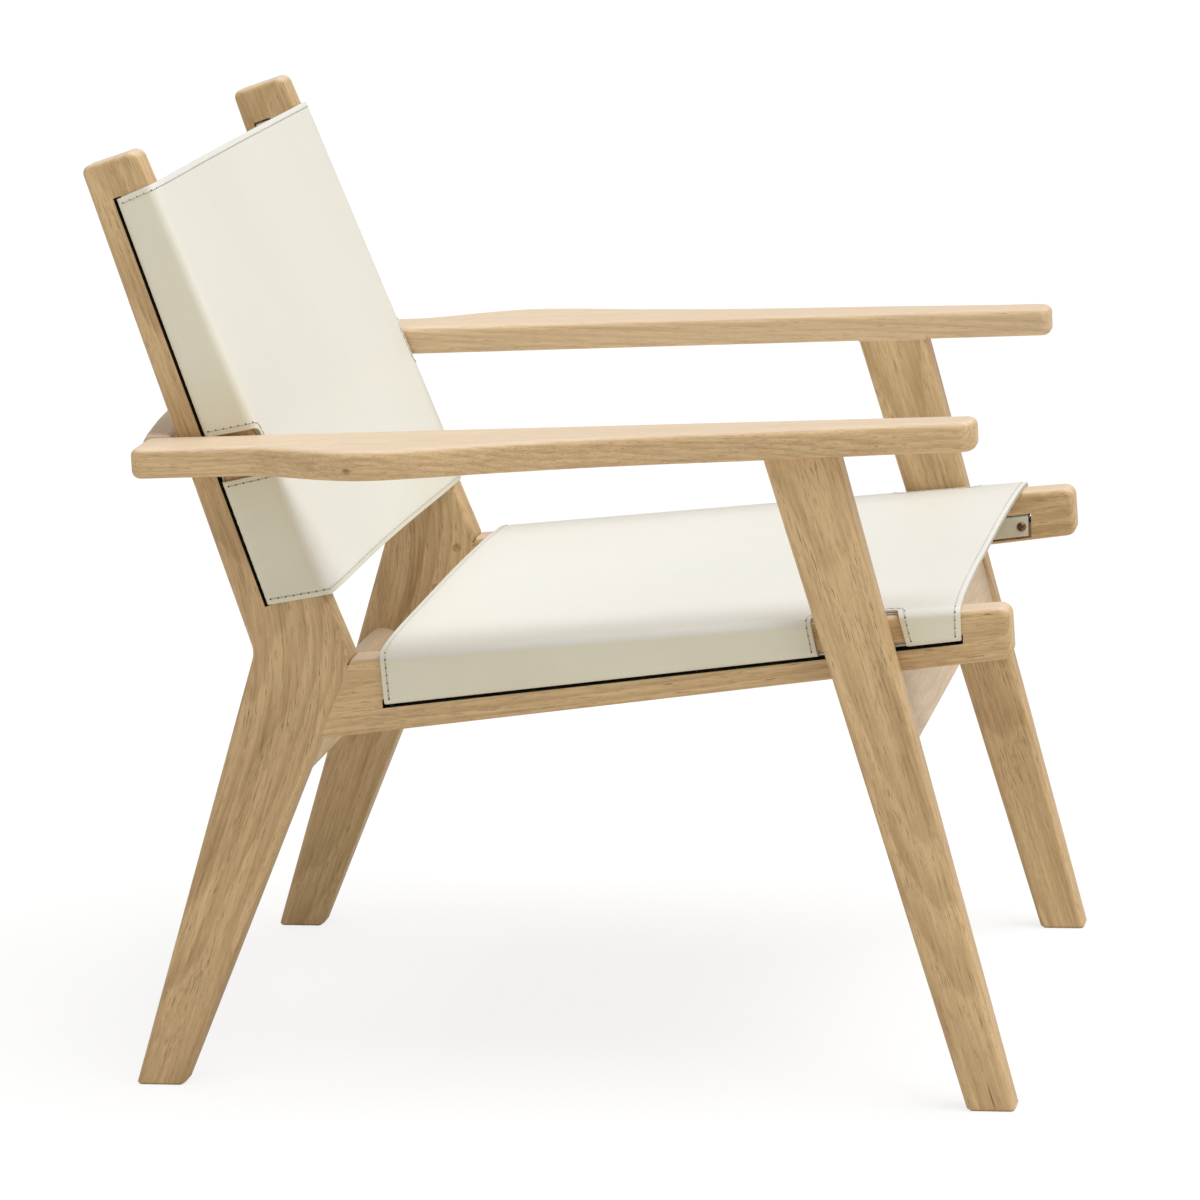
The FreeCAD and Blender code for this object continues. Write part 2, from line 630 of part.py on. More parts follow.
# Nodes
save_pair(rear_leg, "rear_leg")
save_pair(seat_rail, "seat_rail")
save_pair(front_leg, "front_leg")
save_pair(arm, "armrest")
save(front_stretcher, "front_stretcher")
save(rear_stretcher, "rear_stretcher")
save(bow, "bowed_back_rail")
save(seat, "seat_sling")
save(back, "back_sling")
save_pair(Part.makeCompound(pins), "rail_tenon_pins")
save_pair(Part.makeCompound(dowels), "back_rail_dowels")
save_pair(Part.makeCompound([bolt(x, z) for x, z in LEG_BOLTS]), "front_leg_bolts")
save_pair(Part.makeCompound([insert(x, z) for x, z in LEG_BOLTS]), "front_leg_inserts")
save_pair(bolt(*ARM_BOLT), "arm_bolt")
save_pair(insert(*ARM_BOLT), "arm_insert")
save_pair(Part.makeCompound([screw(x, z) for x, z in SEAT_SCREWS]), "seat_screws")
save_pair(Part.makeCompound([screw(x, z) for x, z in BACK_SCREWS]), "back_screws")
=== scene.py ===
import math

import bpy
import numpy as np
from mathutils import Euler, Matrix, Vector
from mathutils.geometry import delaunay_2d_cdt


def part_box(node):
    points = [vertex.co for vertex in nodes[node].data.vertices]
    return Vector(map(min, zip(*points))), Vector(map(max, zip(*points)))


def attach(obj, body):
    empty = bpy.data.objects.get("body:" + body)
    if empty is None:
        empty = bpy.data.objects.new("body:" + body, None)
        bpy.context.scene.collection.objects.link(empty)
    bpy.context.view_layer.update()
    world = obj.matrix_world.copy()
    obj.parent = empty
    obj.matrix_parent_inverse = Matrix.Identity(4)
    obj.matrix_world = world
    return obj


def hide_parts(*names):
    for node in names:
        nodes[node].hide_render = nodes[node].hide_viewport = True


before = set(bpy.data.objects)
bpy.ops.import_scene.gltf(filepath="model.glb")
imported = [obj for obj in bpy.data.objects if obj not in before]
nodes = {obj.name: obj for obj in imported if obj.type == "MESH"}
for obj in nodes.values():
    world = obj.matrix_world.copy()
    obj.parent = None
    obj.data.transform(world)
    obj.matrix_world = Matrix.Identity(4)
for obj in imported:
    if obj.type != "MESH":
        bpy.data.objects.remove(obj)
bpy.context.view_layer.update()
MM = 0.001
SIDES = ("left", "right")


# ---------------------------------------------------------------- Side frame boards
# Rear legs, seat rails and front legs: 30 mm boards of bleached hardwood, sawn to shape,
# rounded over along their edges, sanded and oiled. The rails are tenoned into the rear legs.

WOOD_PALE = (0.720, 0.505, 0.266, 1.0)
WOOD_DEEP = (0.375, 0.228, 0.098, 1.0)
WOOD_PORE = (0.170, 0.098, 0.044, 1.0)
# Paler tone: a whole board's own fade, and painted top light on faces that look up
WOOD_FADE_AND_TOP_LIGHT = (0.825, 0.695, 0.560, 1.0)
# Near black painted shade for the walls of the routed slots
WOOD_SLOT_SHADE = (0.035, 0.024, 0.015, 1.0)
RING_PITCH = 5.2 * MM        # one year's growth
RING_TAPER = 0.045           # how fast the rings run out along a board


def add(tree, kind, inputs=None, **settings):
    """A node in the tree; inputs maps a socket's name or number to a value or another socket."""
    node = tree.nodes.new("ShaderNode" + kind)
    for name, value in settings.items():
        setattr(node, name, value)
    for name, value in (inputs or {}).items():
        if isinstance(value, bpy.types.NodeSocket):
            tree.links.new(value, node.inputs[name])
        else:
            node.inputs[name].default_value = value
    return node


def maths(tree, operation, first, second=0.0, third=0.0):
    return add(tree, "Math", {0: first, 1: second, 2: third}, operation=operation).outputs[0]


def between(tree, value, low, high, to_low=0.0, to_high=1.0, smooth=True):
    """The value's place between low and high, as a number from to_low to to_high."""
    kind = "SMOOTHSTEP" if smooth else "LINEAR"
    node = add(tree, "MapRange", {"Value": value, "From Min": low, "From Max": high,
                                  "To Min": to_low, "To Max": to_high}, interpolation_type=kind)
    return node.outputs[0]


def scaled(tree, vector, scale):
    return add(tree, "VectorMath", {0: vector, 1: scale}, operation="MULTIPLY").outputs[0]


def noise(tree, vector, scale, detail=2.0, rough=0.5, distortion=0.0):
    """Noise of that many cells per metre along each axis, from 0 to 1."""
    node = add(tree, "TexNoise", {"Vector": scaled(tree, vector, scale), "Scale": 1.0, "Detail": detail,
                                  "Roughness": rough, "Distortion": distortion})
    return node.outputs[0]


def blended(tree, factor, first, second, kind="MIX"):
    """Colours first and second blended by the factor."""
    node = tree.nodes.new("ShaderNodeMix")
    node.data_type = "RGBA"
    node.blend_type = kind
    for socket, value in ((node.inputs[0], factor), (node.inputs[6], first), (node.inputs[7], second)):
        if isinstance(value, bpy.types.NodeSocket):
            tree.links.new(value, socket)
        else:
            socket.default_value = value
    return node.outputs[2]


def effect(name, inputs, outputs):
    """An empty node group with named inputs (name, type, default) and outputs (name, type)."""
    tree = bpy.data.node_groups.new(name, "ShaderNodeTree")
    for label, kind, default in inputs:
        socket = tree.interface.new_socket(label, in_out="INPUT", socket_type="NodeSocket" + kind)
        if default is not None:
            socket.default_value = default
    for label, kind in outputs:
        tree.interface.new_socket(label, in_out="OUTPUT", socket_type="NodeSocket" + kind)
    return tree, tree.nodes.new("NodeGroupInput").outputs, tree.nodes.new("NodeGroupOutput").inputs


# Grain: rings round a pith beside the board, fibre, streaks and patches of tone, ray fleck, and
# open pores in two lengths, the short ones thickest in the early wood. The vector runs along the
# grain in X, through the board in Y and across it in Z.
grain, given, put = effect("hardwood_grain",
                           [("Vector", "Vector", None), ("Seed", "Float", 0.0), ("Pith Y", "Float", 0.07),
                            ("Pith Z", "Float", 0.0), ("Wander", "Float", 0.02), ("Up", "Float", 0.0),
                            ("Fade", "Float", 0.0), ("Marks", "Float", 0.0)],
                           [("Color", "Color"), ("Roughness", "Float"), ("Height", "Float")])
shift = add(grain, "CombineXYZ", {0: given["Seed"], 1: maths(grain, "MULTIPLY", given["Seed"], 0.7),
                                  2: maths(grain, "MULTIPLY", given["Seed"], 1.3)}).outputs[0]
seeded = add(grain, "VectorMath", {0: given["Vector"], 1: shift}, operation="ADD").outputs[0]
drift = maths(grain, "SUBTRACT", noise(grain, seeded, (3.4, 15.0, 15.0), 2.5), 0.5)
wander = maths(grain, "MULTIPLY", drift, given["Wander"])
split = add(grain, "SeparateXYZ", {0: given["Vector"]})
through = maths(grain, "SUBTRACT", maths(grain, "ADD", split.outputs[1], wander), given["Pith Y"])
across = maths(grain, "SUBTRACT", maths(grain, "ADD", split.outputs[2], wander), given["Pith Z"])
through = maths(grain, "MULTIPLY_ADD", split.outputs[0], RING_TAPER, through)
reach = maths(grain, "SQRT", maths(grain, "ADD", maths(grain, "MULTIPLY", through, through),
                                   maths(grain, "MULTIPLY", across, across)))
year = maths(grain, "FRACT", maths(grain, "DIVIDE", reach, RING_PITCH))
late = maths(grain, "MULTIPLY", between(grain, year, 0.10, 0.88),
             between(grain, year, 0.88, 1.0, 1.0, 0.0))
early = between(grain, year, 0.05, 0.45, 1.0, 0.0)
fibre = noise(grain, seeded, (11.0, 420.0, 420.0), 4.0, 0.65)
streak = noise(grain, seeded, (2.6, 62.0, 62.0), 3.5, 0.6)
patch = noise(grain, seeded, (2.2, 15.0, 15.0), 2.0)
ray = noise(grain, seeded, (90.0, 700.0, 260.0), 2.0)
pore_field = noise(grain, seeded, (95.0, 1900.0, 1900.0), 2.0, 0.45)
pores = maths(grain, "MULTIPLY", between(grain, pore_field, 0.575, 0.69),
              maths(grain, "MULTIPLY_ADD", early, 0.62, 0.38))
dash_field = noise(grain, seeded, (42.0, 980.0, 980.0), 2.0, 0.5)
pores = maths(grain, "MAXIMUM", pores, between(grain, dash_field, 0.62, 0.72, 0.0, 0.55))
tone = maths(grain, "MULTIPLY_ADD", late, 0.30, -0.02)
tone = maths(grain, "ADD", tone, between(grain, fibre, 0.30, 0.72, -0.18, 0.36, False))
tone = maths(grain, "ADD", tone, between(grain, streak, 0.36, 0.70, -0.06, 0.21))
tone = maths(grain, "ADD", tone, between(grain, patch, 0.32, 0.68, -0.05, 0.12))
tone = maths(grain, "ADD", tone, between(grain, ray, 0.45, 0.75, 0.0, 0.10))
tone = maths(grain, "ADD", tone, given["Marks"])
tone = maths(grain, "MINIMUM", maths(grain, "MAXIMUM", tone, 0.0), 1.3)
colour = blended(grain, tone, WOOD_PALE, WOOD_DEEP)
colour = blended(grain, maths(grain, "MULTIPLY", pores, 0.78), colour, WOOD_PORE)
colour = blended(grain, maths(grain, "MAXIMUM", maths(grain, "SUBTRACT", given["Marks"], 0.35), 0.0),
                 colour, WOOD_PORE)
# Paler tone: the board's own fade, and painted top light where the normal looks up
fade_and_top_light = maths(grain, "MAXIMUM", between(grain, given["Up"], 0.35, 0.95, 0.0, 0.62), given["Fade"])
colour = blended(grain, fade_and_top_light, colour, WOOD_FADE_AND_TOP_LIGHT)
grain.links.new(colour, put["Color"])
grain.links.new(maths(grain, "MULTIPLY_ADD", tone, 0.10, 0.46), put["Roughness"])
grain.links.new(maths(grain, "SUBTRACT", maths(grain, "MULTIPLY", fibre, 0.30), pores), put["Height"])

# Marks: a soft-edged patch round a place in the board, long for a mineral streak and round for a
# knot. A negative strength makes a paler patch.
mark, given, put = effect("wood_mark", [("Vector", "Vector", None), ("Place", "Vector", None),
                                        ("Size", "Vector", None), ("Strength", "Float", 1.0)],
                          [("Mask", "Float")])
offset = add(mark, "VectorMath", {0: given["Vector"], 1: given["Place"]}, operation="SUBTRACT").outputs[0]
offset = add(mark, "VectorMath", {0: offset, 1: given["Size"]}, operation="DIVIDE").outputs[0]
away = add(mark, "VectorMath", {0: offset}, operation="LENGTH").outputs["Value"]
ragged = maths(mark, "MULTIPLY_ADD", noise(mark, given["Vector"], (30.0, 500.0, 500.0), 3.0), 1.3, away)
mark.links.new(maths(mark, "MULTIPLY", between(mark, ragged, 0.75, 1.65, 1.0, 0.0), given["Strength"]),
               put["Mask"])


def laid_coordinates(tree, turn, pivot):
    """Object coordinates with zero at the pivot, turned to run along, through and across the grain.

    turn holds the degrees about X, Y and Z that take the chair's axes to the board's.
    """
    euler = Euler([math.radians(angle) for angle in turn])
    where = tree.nodes.get("where") or add(tree, "TexCoord", name="where")
    return add(tree, "Mapping", {"Vector": where.outputs["Object"], "Rotation": euler,
                                 "Location": -(euler.to_matrix() @ Vector(pivot))}).outputs[0]


# Painted shade in the slots: how deep it reaches below the lip, and where it lies across the chair
SLOT_DEEP = 7.6 * MM
SLOT_Y = (245.2 * MM, 245.8 * MM, 273.6 * MM, 274.6 * MM)   # inner wall: from, full; outer wall: full, to


def painted_slot_shade(tree, where, slot):
    """Mask of painted shade on a routed slot's walls, as the product of soft steps across it, along it and
    through it.

    slot is (normal, offset, way, start, end): the walls lie below the plane normal . P = offset, from
    start to end along way.
    """
    normal, offset, way, start, end = slot
    across = add(tree, "VectorMath", {0: where.outputs["Object"], 1: normal}, operation="DOT_PRODUCT")
    below = maths(tree, "SUBTRACT", offset, across.outputs["Value"])
    along = add(tree, "VectorMath", {0: where.outputs["Object"], 1: way}, operation="DOT_PRODUCT")
    along = along.outputs["Value"]
    y = maths(tree, "ABSOLUTE", add(tree, "SeparateXYZ", {0: where.outputs["Object"]}).outputs[1])
    slot_shade = between(tree, below, -1.4 * MM, -0.2 * MM)
    for step in (between(tree, below, SLOT_DEEP, SLOT_DEEP + 1.2 * MM, 1.0, 0.0),
                 between(tree, along, start - 1.0 * MM, start),
                 between(tree, along, end, end + 1.0 * MM, 1.0, 0.0),
                 between(tree, y, SLOT_Y[0], SLOT_Y[1]),
                 between(tree, y, SLOT_Y[2], SLOT_Y[3], 1.0, 0.0)):
        slot_shade = maths(tree, "MULTIPLY", slot_shade, step)
    return slot_shade


def hardwood(name, seed, laid, pith=(0.07, 0.0), wander=0.02, fade=0.0, marks=(), slot=None):
    """Material for one board; laid(tree) gives the coordinates along its grain.

    marks are (place, size, strength) in those coordinates, and slot is a routed slot's place, whose walls
    get painted shade.
    """
    material = bpy.data.materials.new(name)
    material.use_nodes = True
    tree = material.node_tree
    surface = tree.nodes["Principled BSDF"]
    figure = add(tree, "Group", node_tree=grain)
    along = laid(tree)
    tree.links.new(along, figure.inputs["Vector"])
    for label, value in (("Seed", seed), ("Pith Y", pith[0]), ("Pith Z", pith[1]), ("Wander", wander),
                         ("Fade", fade)):
        figure.inputs[label].default_value = value
    where = tree.nodes["where"]
    # Painted top light: the normal's up share pales faces that look up
    tree.links.new(add(tree, "SeparateXYZ", {0: where.outputs["Normal"]}).outputs[2], figure.inputs["Up"])
    total = 0.0
    for place, size, strength in marks:
        spot = add(tree, "Group", node_tree=mark)
        tree.links.new(along, spot.inputs["Vector"])
        for label, value in (("Place", place), ("Size", size), ("Strength", strength)):
            spot.inputs[label].default_value = value
        total = maths(tree, "ADD", spot.outputs["Mask"], total)
    if marks:
        tree.links.new(total, figure.inputs["Marks"])
    colour = figure.outputs["Color"]
    if slot:
        # Painted shade: the slot's walls are coloured near black, where shade falls in the slot
        colour = blended(tree, painted_slot_shade(tree, where, slot), colour, WOOD_SLOT_SHADE)
    bump = add(tree, "Bump", {"Height": figure.outputs["Height"], "Strength": 0.45, "Distance": 0.2 * MM})
    tree.links.new(colour, surface.inputs["Base Color"])
    tree.links.new(figure.outputs["Roughness"], surface.inputs["Roughness"])
    tree.links.new(bump.outputs[0], surface.inputs["Normal"])
    surface.inputs["Specular IOR Level"].default_value = 0.42
    return material


def clothe(node, material):
    """Give a CAD node its material."""
    nodes[node].material_slots[0].material = material


def centre_of(node):
    low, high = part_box(node)
    return (low + high) / 2


def straight_board(node, turn, seed, pith=(0.07, 0.0), **figure):
    """Dress a straight board whose grain lies along the chair's X axis turned by turn."""
    pivot = centre_of(node)
    clothe(node, hardwood("wood_" + node, seed, lambda tree: laid_coordinates(tree, turn, pivot), pith,
                          **figure))


LEG_LEAN = (0.0, 69.7, 0.0)          # the boards' lie, as turns of the chair's axes
POST_LEAN = (0.0, 109.5, 0.0)
RAIL_RISE = (0.0, 6.0, 0.0)
FRONT_LEAN = (0.0, 106.0, 0.0)
CROSSWISE = (0.0, 0.0, -90.0)
BEND = (-204.0 * MM, 355.0 * MM)     # x and z of the rear legs' bend
BEND_SPREAD = 90.0 * MM              # how far the fibres take to turn round it


def bent_grain(tree, pivot):
    """Grain of the rear leg: along the leg below the bend and along the post above it.

    The distance across the grain is the smooth minimum of its distances in the two straight parts.
    """
    low = add(tree, "SeparateXYZ", {0: laid_coordinates(tree, LEG_LEAN, pivot)})
    top = add(tree, "SeparateXYZ", {0: laid_coordinates(tree, POST_LEAN, pivot)})
    z = add(tree, "SeparateXYZ", {0: tree.nodes["where"].outputs["Object"]}).outputs[2]
    across = maths(tree, "SMOOTH_MIN", low.outputs[2], top.outputs[2], BEND_SPREAD)
    height = maths(tree, "SUBTRACT", z, pivot[2])
    return add(tree, "CombineXYZ", {0: height, 1: low.outputs[1], 2: across}).outputs[0]


LEG_X = 5.6 * MM             # the side view's own zero stands this far ahead of the origin
POST_KNEE = Vector((-167.5 * MM, 353.0 * MM))   # the post's front edge at the bend and at its top
POST_TOP = Vector((-326.0 * MM, 760.0 * MM))
POST_UP = (POST_TOP - POST_KNEE).normalized()
LIP_HEIGHT = 337.7 * MM      # seat slot's upper lip at the side view's zero
LIP_RISE = 0.119
POST_SLOT = (45.1 * MM, 65.2 * MM, -0.0484)   # distance behind the post's front, height there, slope
POST_SLOT_FRONT = 4.0 * MM   # the slot's front wall, ahead of that line

# Planes of the two slots: the rail's lip, and the post's slot
rail_normal = Vector((-LIP_RISE, 0.0, 1.0))
rail_offset = LIP_HEIGHT - LIP_RISE * LEG_X
up = Vector((POST_UP.x, 0.0, POST_UP.y))
ahead = Vector((POST_UP.y, 0.0, -POST_UP.x))
post_normal = ahead + POST_SLOT[2] * up
knee = Vector((POST_KNEE.x + LEG_X, 0.0, POST_KNEE.y))
post_offset = post_normal.dot(knee) - POST_SLOT[0] + POST_SLOT[2] * POST_SLOT[1] + POST_SLOT_FRONT
RAIL_SLOT = (rail_normal, rail_offset, (1.0, 0.0, 0.0), LEG_X - 144.5 * MM, LEG_X + 321.0 * MM)
BACK_SLOT = (post_normal, post_offset, up, up.dot(knee) + 61.0 * MM, up.dot(knee) + 410.0 * MM)

# Marks of the left and right boards: streaks, a pale knee and head, darker feet, a cracked foot
leg_marks = ([((-0.05, 0.0, -0.004), (0.17, 0.05, 0.010), 0.42),
              ((0.16, 0.0, 0.010), (0.20, 0.05, 0.006), 0.30)],
             [((-0.13, 0.0, 0.004), (0.22, 0.05, 0.005), 0.40),
              ((-0.10, 0.0, 0.018), (0.15, 0.05, 0.003), 0.28),
              ((0.00, 0.0, 0.0), (0.085, 0.05, 0.060), -0.34),
              ((-0.29, 0.0, 0.0), (0.11, 0.05, 0.06), 0.22)])
front_marks = ([((-0.05, 0.0, 0.0), (0.36, 0.05, 0.10), 0.22)],
               [((-0.268, 0.0, -0.002), (0.016, 0.05, 0.0009), 1.3),
                ((0.03, 0.0, -0.019), (0.17, 0.05, 0.009), 0.42),
                ((0.24, 0.0, 0.0), (0.13, 0.05, 0.06), -0.30),
                ((-0.06, 0.0, 0.006), (0.20, 0.05, 0.007), 0.24)])
for number, side in enumerate(SIDES):
    bend_pivot = (BEND[0], centre_of(side + "_rear_leg").y, BEND[1])
    clothe(side + "_rear_leg", hardwood("wood_" + side + "_rear_leg", 3.1 + 2.3 * number,
                                        lambda tree, at=bend_pivot: bent_grain(tree, at), (0.06, 0.012),
                                        marks=leg_marks[number], slot=BACK_SLOT))
    straight_board(side + "_seat_rail", RAIL_RISE, 1.7 + 4.1 * number, (-0.05, 0.02), slot=RAIL_SLOT)
    straight_board(side + "_front_leg", FRONT_LEAN, 5.3 + 1.9 * number, (0.08, -0.01),
                   marks=front_marks[number])


# ---------------------------------------------------------------- Stretchers
# Two cross boards that hold the side frames apart: one under the front of the seat, leaning with
# the legs, and one low between the rear legs with a rounded top. Both are tenoned and glued.

straight_board("front_stretcher", CROSSWISE, 7.9, (0.09, 0.01), fade=0.42)
straight_board("rear_stretcher", CROSSWISE, 9.2, (-0.06, 0.0))


# ---------------------------------------------------------------- Arms and bowed rail
# Flat boards swelling to a palm rest ahead of the posts, and the curved rail that joins them
# behind the back. All are rounded over and bolted or dowelled from inside.

PALM_KNOT = ((-0.150, -0.0075, 0.040), (0.0050, 0.0040, 0.030), 0.9)
PALM_FIGURE = [((-0.185, -0.004, 0.040), (0.018, 0.008, 0.030), 0.30),
               ((-0.060, -0.004, 0.040), (0.060, 0.0035, 0.030), 0.26),
               ((0.110, 0.005, 0.040), (0.090, 0.003, 0.030), 0.22)]
LYING_FLAT = (-90.0, 0.0, 0.0)
ARM_FADE = (0.20, 0.04)              # the left arm has bleached more than the right
for number, side in enumerate(SIDES):
    straight_board(side + "_armrest", LYING_FLAT, 2.6 + 3.7 * number, (0.05, 0.01), wander=0.055,
                   fade=ARM_FADE[number], marks=[PALM_KNOT, *PALM_FIGURE] if number else ())
straight_board("bowed_back_rail", CROSSWISE, 6.6, (0.05, 0.02), fade=0.45)


# ---------------------------------------------------------------- Pins and dowels
# Short round pegs of the same wood, cut across the grain and sanded flush, so that their ends
# look darker than the boards round them.

END_GRAIN = ((0.0, 0.0, 0.0), (0.2, 0.2, 0.2), 0.38)
for number, side in enumerate(SIDES):
    for k, node in enumerate((side + "_rail_tenon_pins", side + "_back_rail_dowels")):
        straight_board(node, CROSSWISE, 4.4 + number + 0.6 * k, (0.012, 0.0), marks=[END_GRAIN])


# ---------------------------------------------------------------- Bolts and inserts
# Zinc plated socket-head bolts that draw the front legs and arms to the frame, and the brass
# threaded inserts that they turn into.

scratch, given, put = effect("turned_metal", [("Vector", "Vector", None), ("Base", "Color", None),
                                              ("Worn", "Color", None), ("Roughness", "Float", 0.35)],
                             [("Color", "Color"), ("Roughness", "Float"), ("Height", "Float")])
cloud = noise(scratch, given["Vector"], (240.0, 240.0, 240.0), 3.0)
fine = noise(scratch, given["Vector"], (900.0, 2600.0, 900.0), 2.0)
scratch.links.new(blended(scratch, between(scratch, cloud, 0.42, 0.68, 0.0, 0.65), given["Base"],
                          given["Worn"]), put["Color"])
scratch.links.new(maths(scratch, "MULTIPLY_ADD", fine, 0.22, given["Roughness"]), put["Roughness"])
scratch.links.new(fine, put["Height"])


def metal(name, base, worn, roughness):
    """Metal with cloudy tarnish and fine turning marks."""
    material = bpy.data.materials.new(name)
    material.use_nodes = True
    tree = material.node_tree
    surface = tree.nodes["Principled BSDF"]
    figure = add(tree, "Group", node_tree=scratch)
    tree.links.new(add(tree, "TexCoord").outputs["Object"], figure.inputs["Vector"])
    figure.inputs["Base"].default_value = base
    figure.inputs["Worn"].default_value = worn
    figure.inputs["Roughness"].default_value = roughness
    bump = add(tree, "Bump", {"Height": figure.outputs["Height"], "Strength": 0.2, "Distance": 0.1 * MM})
    tree.links.new(figure.outputs["Color"], surface.inputs["Base Color"])
    tree.links.new(figure.outputs["Roughness"], surface.inputs["Roughness"])
    tree.links.new(bump.outputs[0], surface.inputs["Normal"])
    surface.inputs["Metallic"].default_value = 1.0
    return material


zinc = metal("zinc_plate", (0.55, 0.56, 0.56, 1.0), (0.38, 0.37, 0.34, 1.0), 0.32)
brass = metal("turned_brass", (0.72, 0.50, 0.20, 1.0), (0.45, 0.29, 0.11, 1.0), 0.30)
for side in SIDES:
    clothe(side + "_front_leg_bolts", zinc)
    clothe(side + "_arm_bolt", zinc)
    clothe(side + "_front_leg_inserts", brass)
    clothe(side + "_arm_insert", brass)


# ---------------------------------------------------------------- Seat leather
# One thick saddle hide, a smooth face glued and sewn to a thinner lining. It lies over both
# rails, turns down outside them, goes in through their slots and ends in screwed tabs.

HIDE = 4.0 * MM              # face and lining together
FACE_PLY = 2.3 * MM
# The glue groove is a real groove, painted near black as painted shade along the cut edge
GLUE_LINE = 0.5 * MM         # fine groove between the two layers along a cut edge
EASE = 0.3 * MM              # room between the hide and the wood
WOOD_OUT = 275.0 * MM        # outer and inner faces of rails and posts
WOOD_IN = 245.0 * MM
TAB_SUNK = 0.5 * MM          # the tabs lie this far below the wood's inner face
FOLD = 6.0 * MM              # bend radii, on the middle of the hide
SLOT_BEND = 2.2 * MM
STITCH = 6.3 * MM            # from one awl hole to the next
STITCH_IN = 4.3 * MM         # seam line, in from the cut edge
THREAD = 0.42 * MM           # radii of a thread and of an awl hole
AWL = 0.76 * MM
OUT = WOOD_OUT + EASE + HIDE / 2
SHEET_HALF = OUT - FOLD
FOLD_RUN = FOLD * math.pi / 2
BEND_RUN = SLOT_BEND * math.pi / 2
WEB_RUN = OUT - (WOOD_IN + TAB_SUNK + HIDE / 2) - 2 * SLOT_BEND
FLAP_FROM = SHEET_HALF + FOLD_RUN


def hide_section(p, flap, flap_drawn, tab):
    """Point (y, depth) and face normal of the middle of a hide, p along it from the chair's middle.

    Four straight stretches, over, down, in and down again, are joined by quarter bends. The stretch
    down the outside has the length flap, and is drawn in p with the length flap_drawn.
    """
    run = np.abs(p)
    run = run + np.clip(run - FLAP_FROM, 0, flap_drawn) * (flap / flap_drawn - 1)
    quarter = math.pi / 2
    stretches = ((SHEET_HALF, 0.0), (FOLD_RUN, quarter), (flap, 0.0), (BEND_RUN, quarter),
                 (WEB_RUN, 0.0), (BEND_RUN, -quarter), (tab, 0.0))
    y = np.zeros_like(run)
    depth = np.zeros_like(run)
    turned = np.zeros_like(run)
    done = np.zeros_like(run)
    heading = 0.0
    for length, turn in stretches:
        gone = np.clip(run - done, 0, length)
        if turn:
            angle = heading + turn * gone / length
            y += (np.sin(angle) - math.sin(heading)) * length / turn
            depth += (math.cos(heading) - np.cos(angle)) * length / turn
            turned += turn * gone / length
        else:
            y += gone * math.cos(heading)
            depth += gone * math.sin(heading)
        heading += turn
        done = done + length
    side = np.where(p < 0, -1.0, 1.0)
    return side * y, depth, side * np.sin(turned), -np.cos(turned)


RAIL_HEIGHT = 367.5 * MM     # the seat rail's top edge at the side view's zero, and its rise
RAIL_SLOPE = 0.0863
SEAT_FLAP_DRAWN = 18.0 * MM  # the flap's share of the flat cut
SEAT_TAB = 15.0 * MM
SEAT_SAG = 3.5 * MM
SEAT_ROWS = 58               # strips of triangles from rear to front
RIPPLE = 0.7 * MM            # faint waves left where the hide has stretched
RIPPLE_RUNS = (83.0 * MM, 110.0 * MM)


def slack(y):
    """Share of the sag at y: (1 - (y / half the room between the frames) ^ 2) ^ 1.6."""
    return np.clip(1 - (y / WOOD_IN) ** 2, 0, 1) ** 1.6


def lay_seat(p, x, h):
    """Place of a point of the seat hide: p across it, x along the chair, h above its middle."""
    over = RAIL_HEIGHT + RAIL_SLOPE * x + EASE + HIDE / 2
    web = LIP_HEIGHT + LIP_RISE * x - EASE - HIDE / 2
    flap = over - web - FOLD - SLOT_BEND
    y, depth, ny, nd = hide_section(p, flap, SEAT_FLAP_DRAWN, SEAT_TAB)
    ripple = RIPPLE * np.sin(y / RIPPLE_RUNS[0] + 0.6) * np.sin(x / RIPPLE_RUNS[1])
    sag = (SEAT_SAG + ripple) * slack(y)
    return np.stack([x + LEG_X + 0 * h, y + ny * h, over - depth - nd * h - sag], axis=-1)


def edge_curve(knots, bow=0.0):
    """Edge of a hide as t at each p: straight lines through the knots (p, t), less a bow.

    The bow is full in the middle of the hide and falls to 0 at its folds, as 1 - |p / half| ^ 2.4.
    """
    at, value = np.array(knots).T
    return lambda p: np.interp(p, at, value) - bow * np.clip(1 - np.abs(p / SHEET_HALF) ** 2.4, 0, 1)


def rounded_corner(before, corner, after, radius, steps=9):
    """Arc that rounds a corner, swept evenly from one tangent point to the other."""
    before, corner, after = (np.array(q, float) for q in (before, corner, after))
    a = (before - corner) / np.linalg.norm(before - corner)
    b = (after - corner) / np.linalg.norm(after - corner)
    half = math.acos(np.clip(a @ b, -1, 1)) / 2
    middle = (a + b) / np.linalg.norm(a + b)
    centre = corner + middle * radius / math.sin(half)
    start = corner + a * radius / math.tan(half) - centre
    end = corner + b * radius / math.tan(half) - centre
    share = np.linspace(0, 1, steps)[:, None]
    swept = math.pi - 2 * half
    return centre + (np.sin((1 - share) * swept) * start + np.sin(share * swept) * end) / math.sin(swept)


def outline_of(corners, step, closed=True):
    """Outline through corners (p, t, radius), with points about one step apart.

    An open outline stops at its last corner.
    """
    count = len(corners)
    chain = []
    for i, (p, t, radius) in enumerate(corners):
        if radius:
            chain.append(rounded_corner(corners[i - 1][:2], (p, t), corners[(i + 1) % count][:2], radius))
        else:
            chain.append(np.array([(p, t)], float))
    chain = np.concatenate(chain)
    parts = []
    for start, end in zip(chain, np.roll(chain, -1, axis=0)):
        pieces = max(1, int(np.linalg.norm(end - start) / step))
        parts.append(start + (end - start) * (np.arange(pieces) / pieces)[:, None])
    if not closed:
        parts[-1] = chain[-1:]
    return np.concatenate(parts)


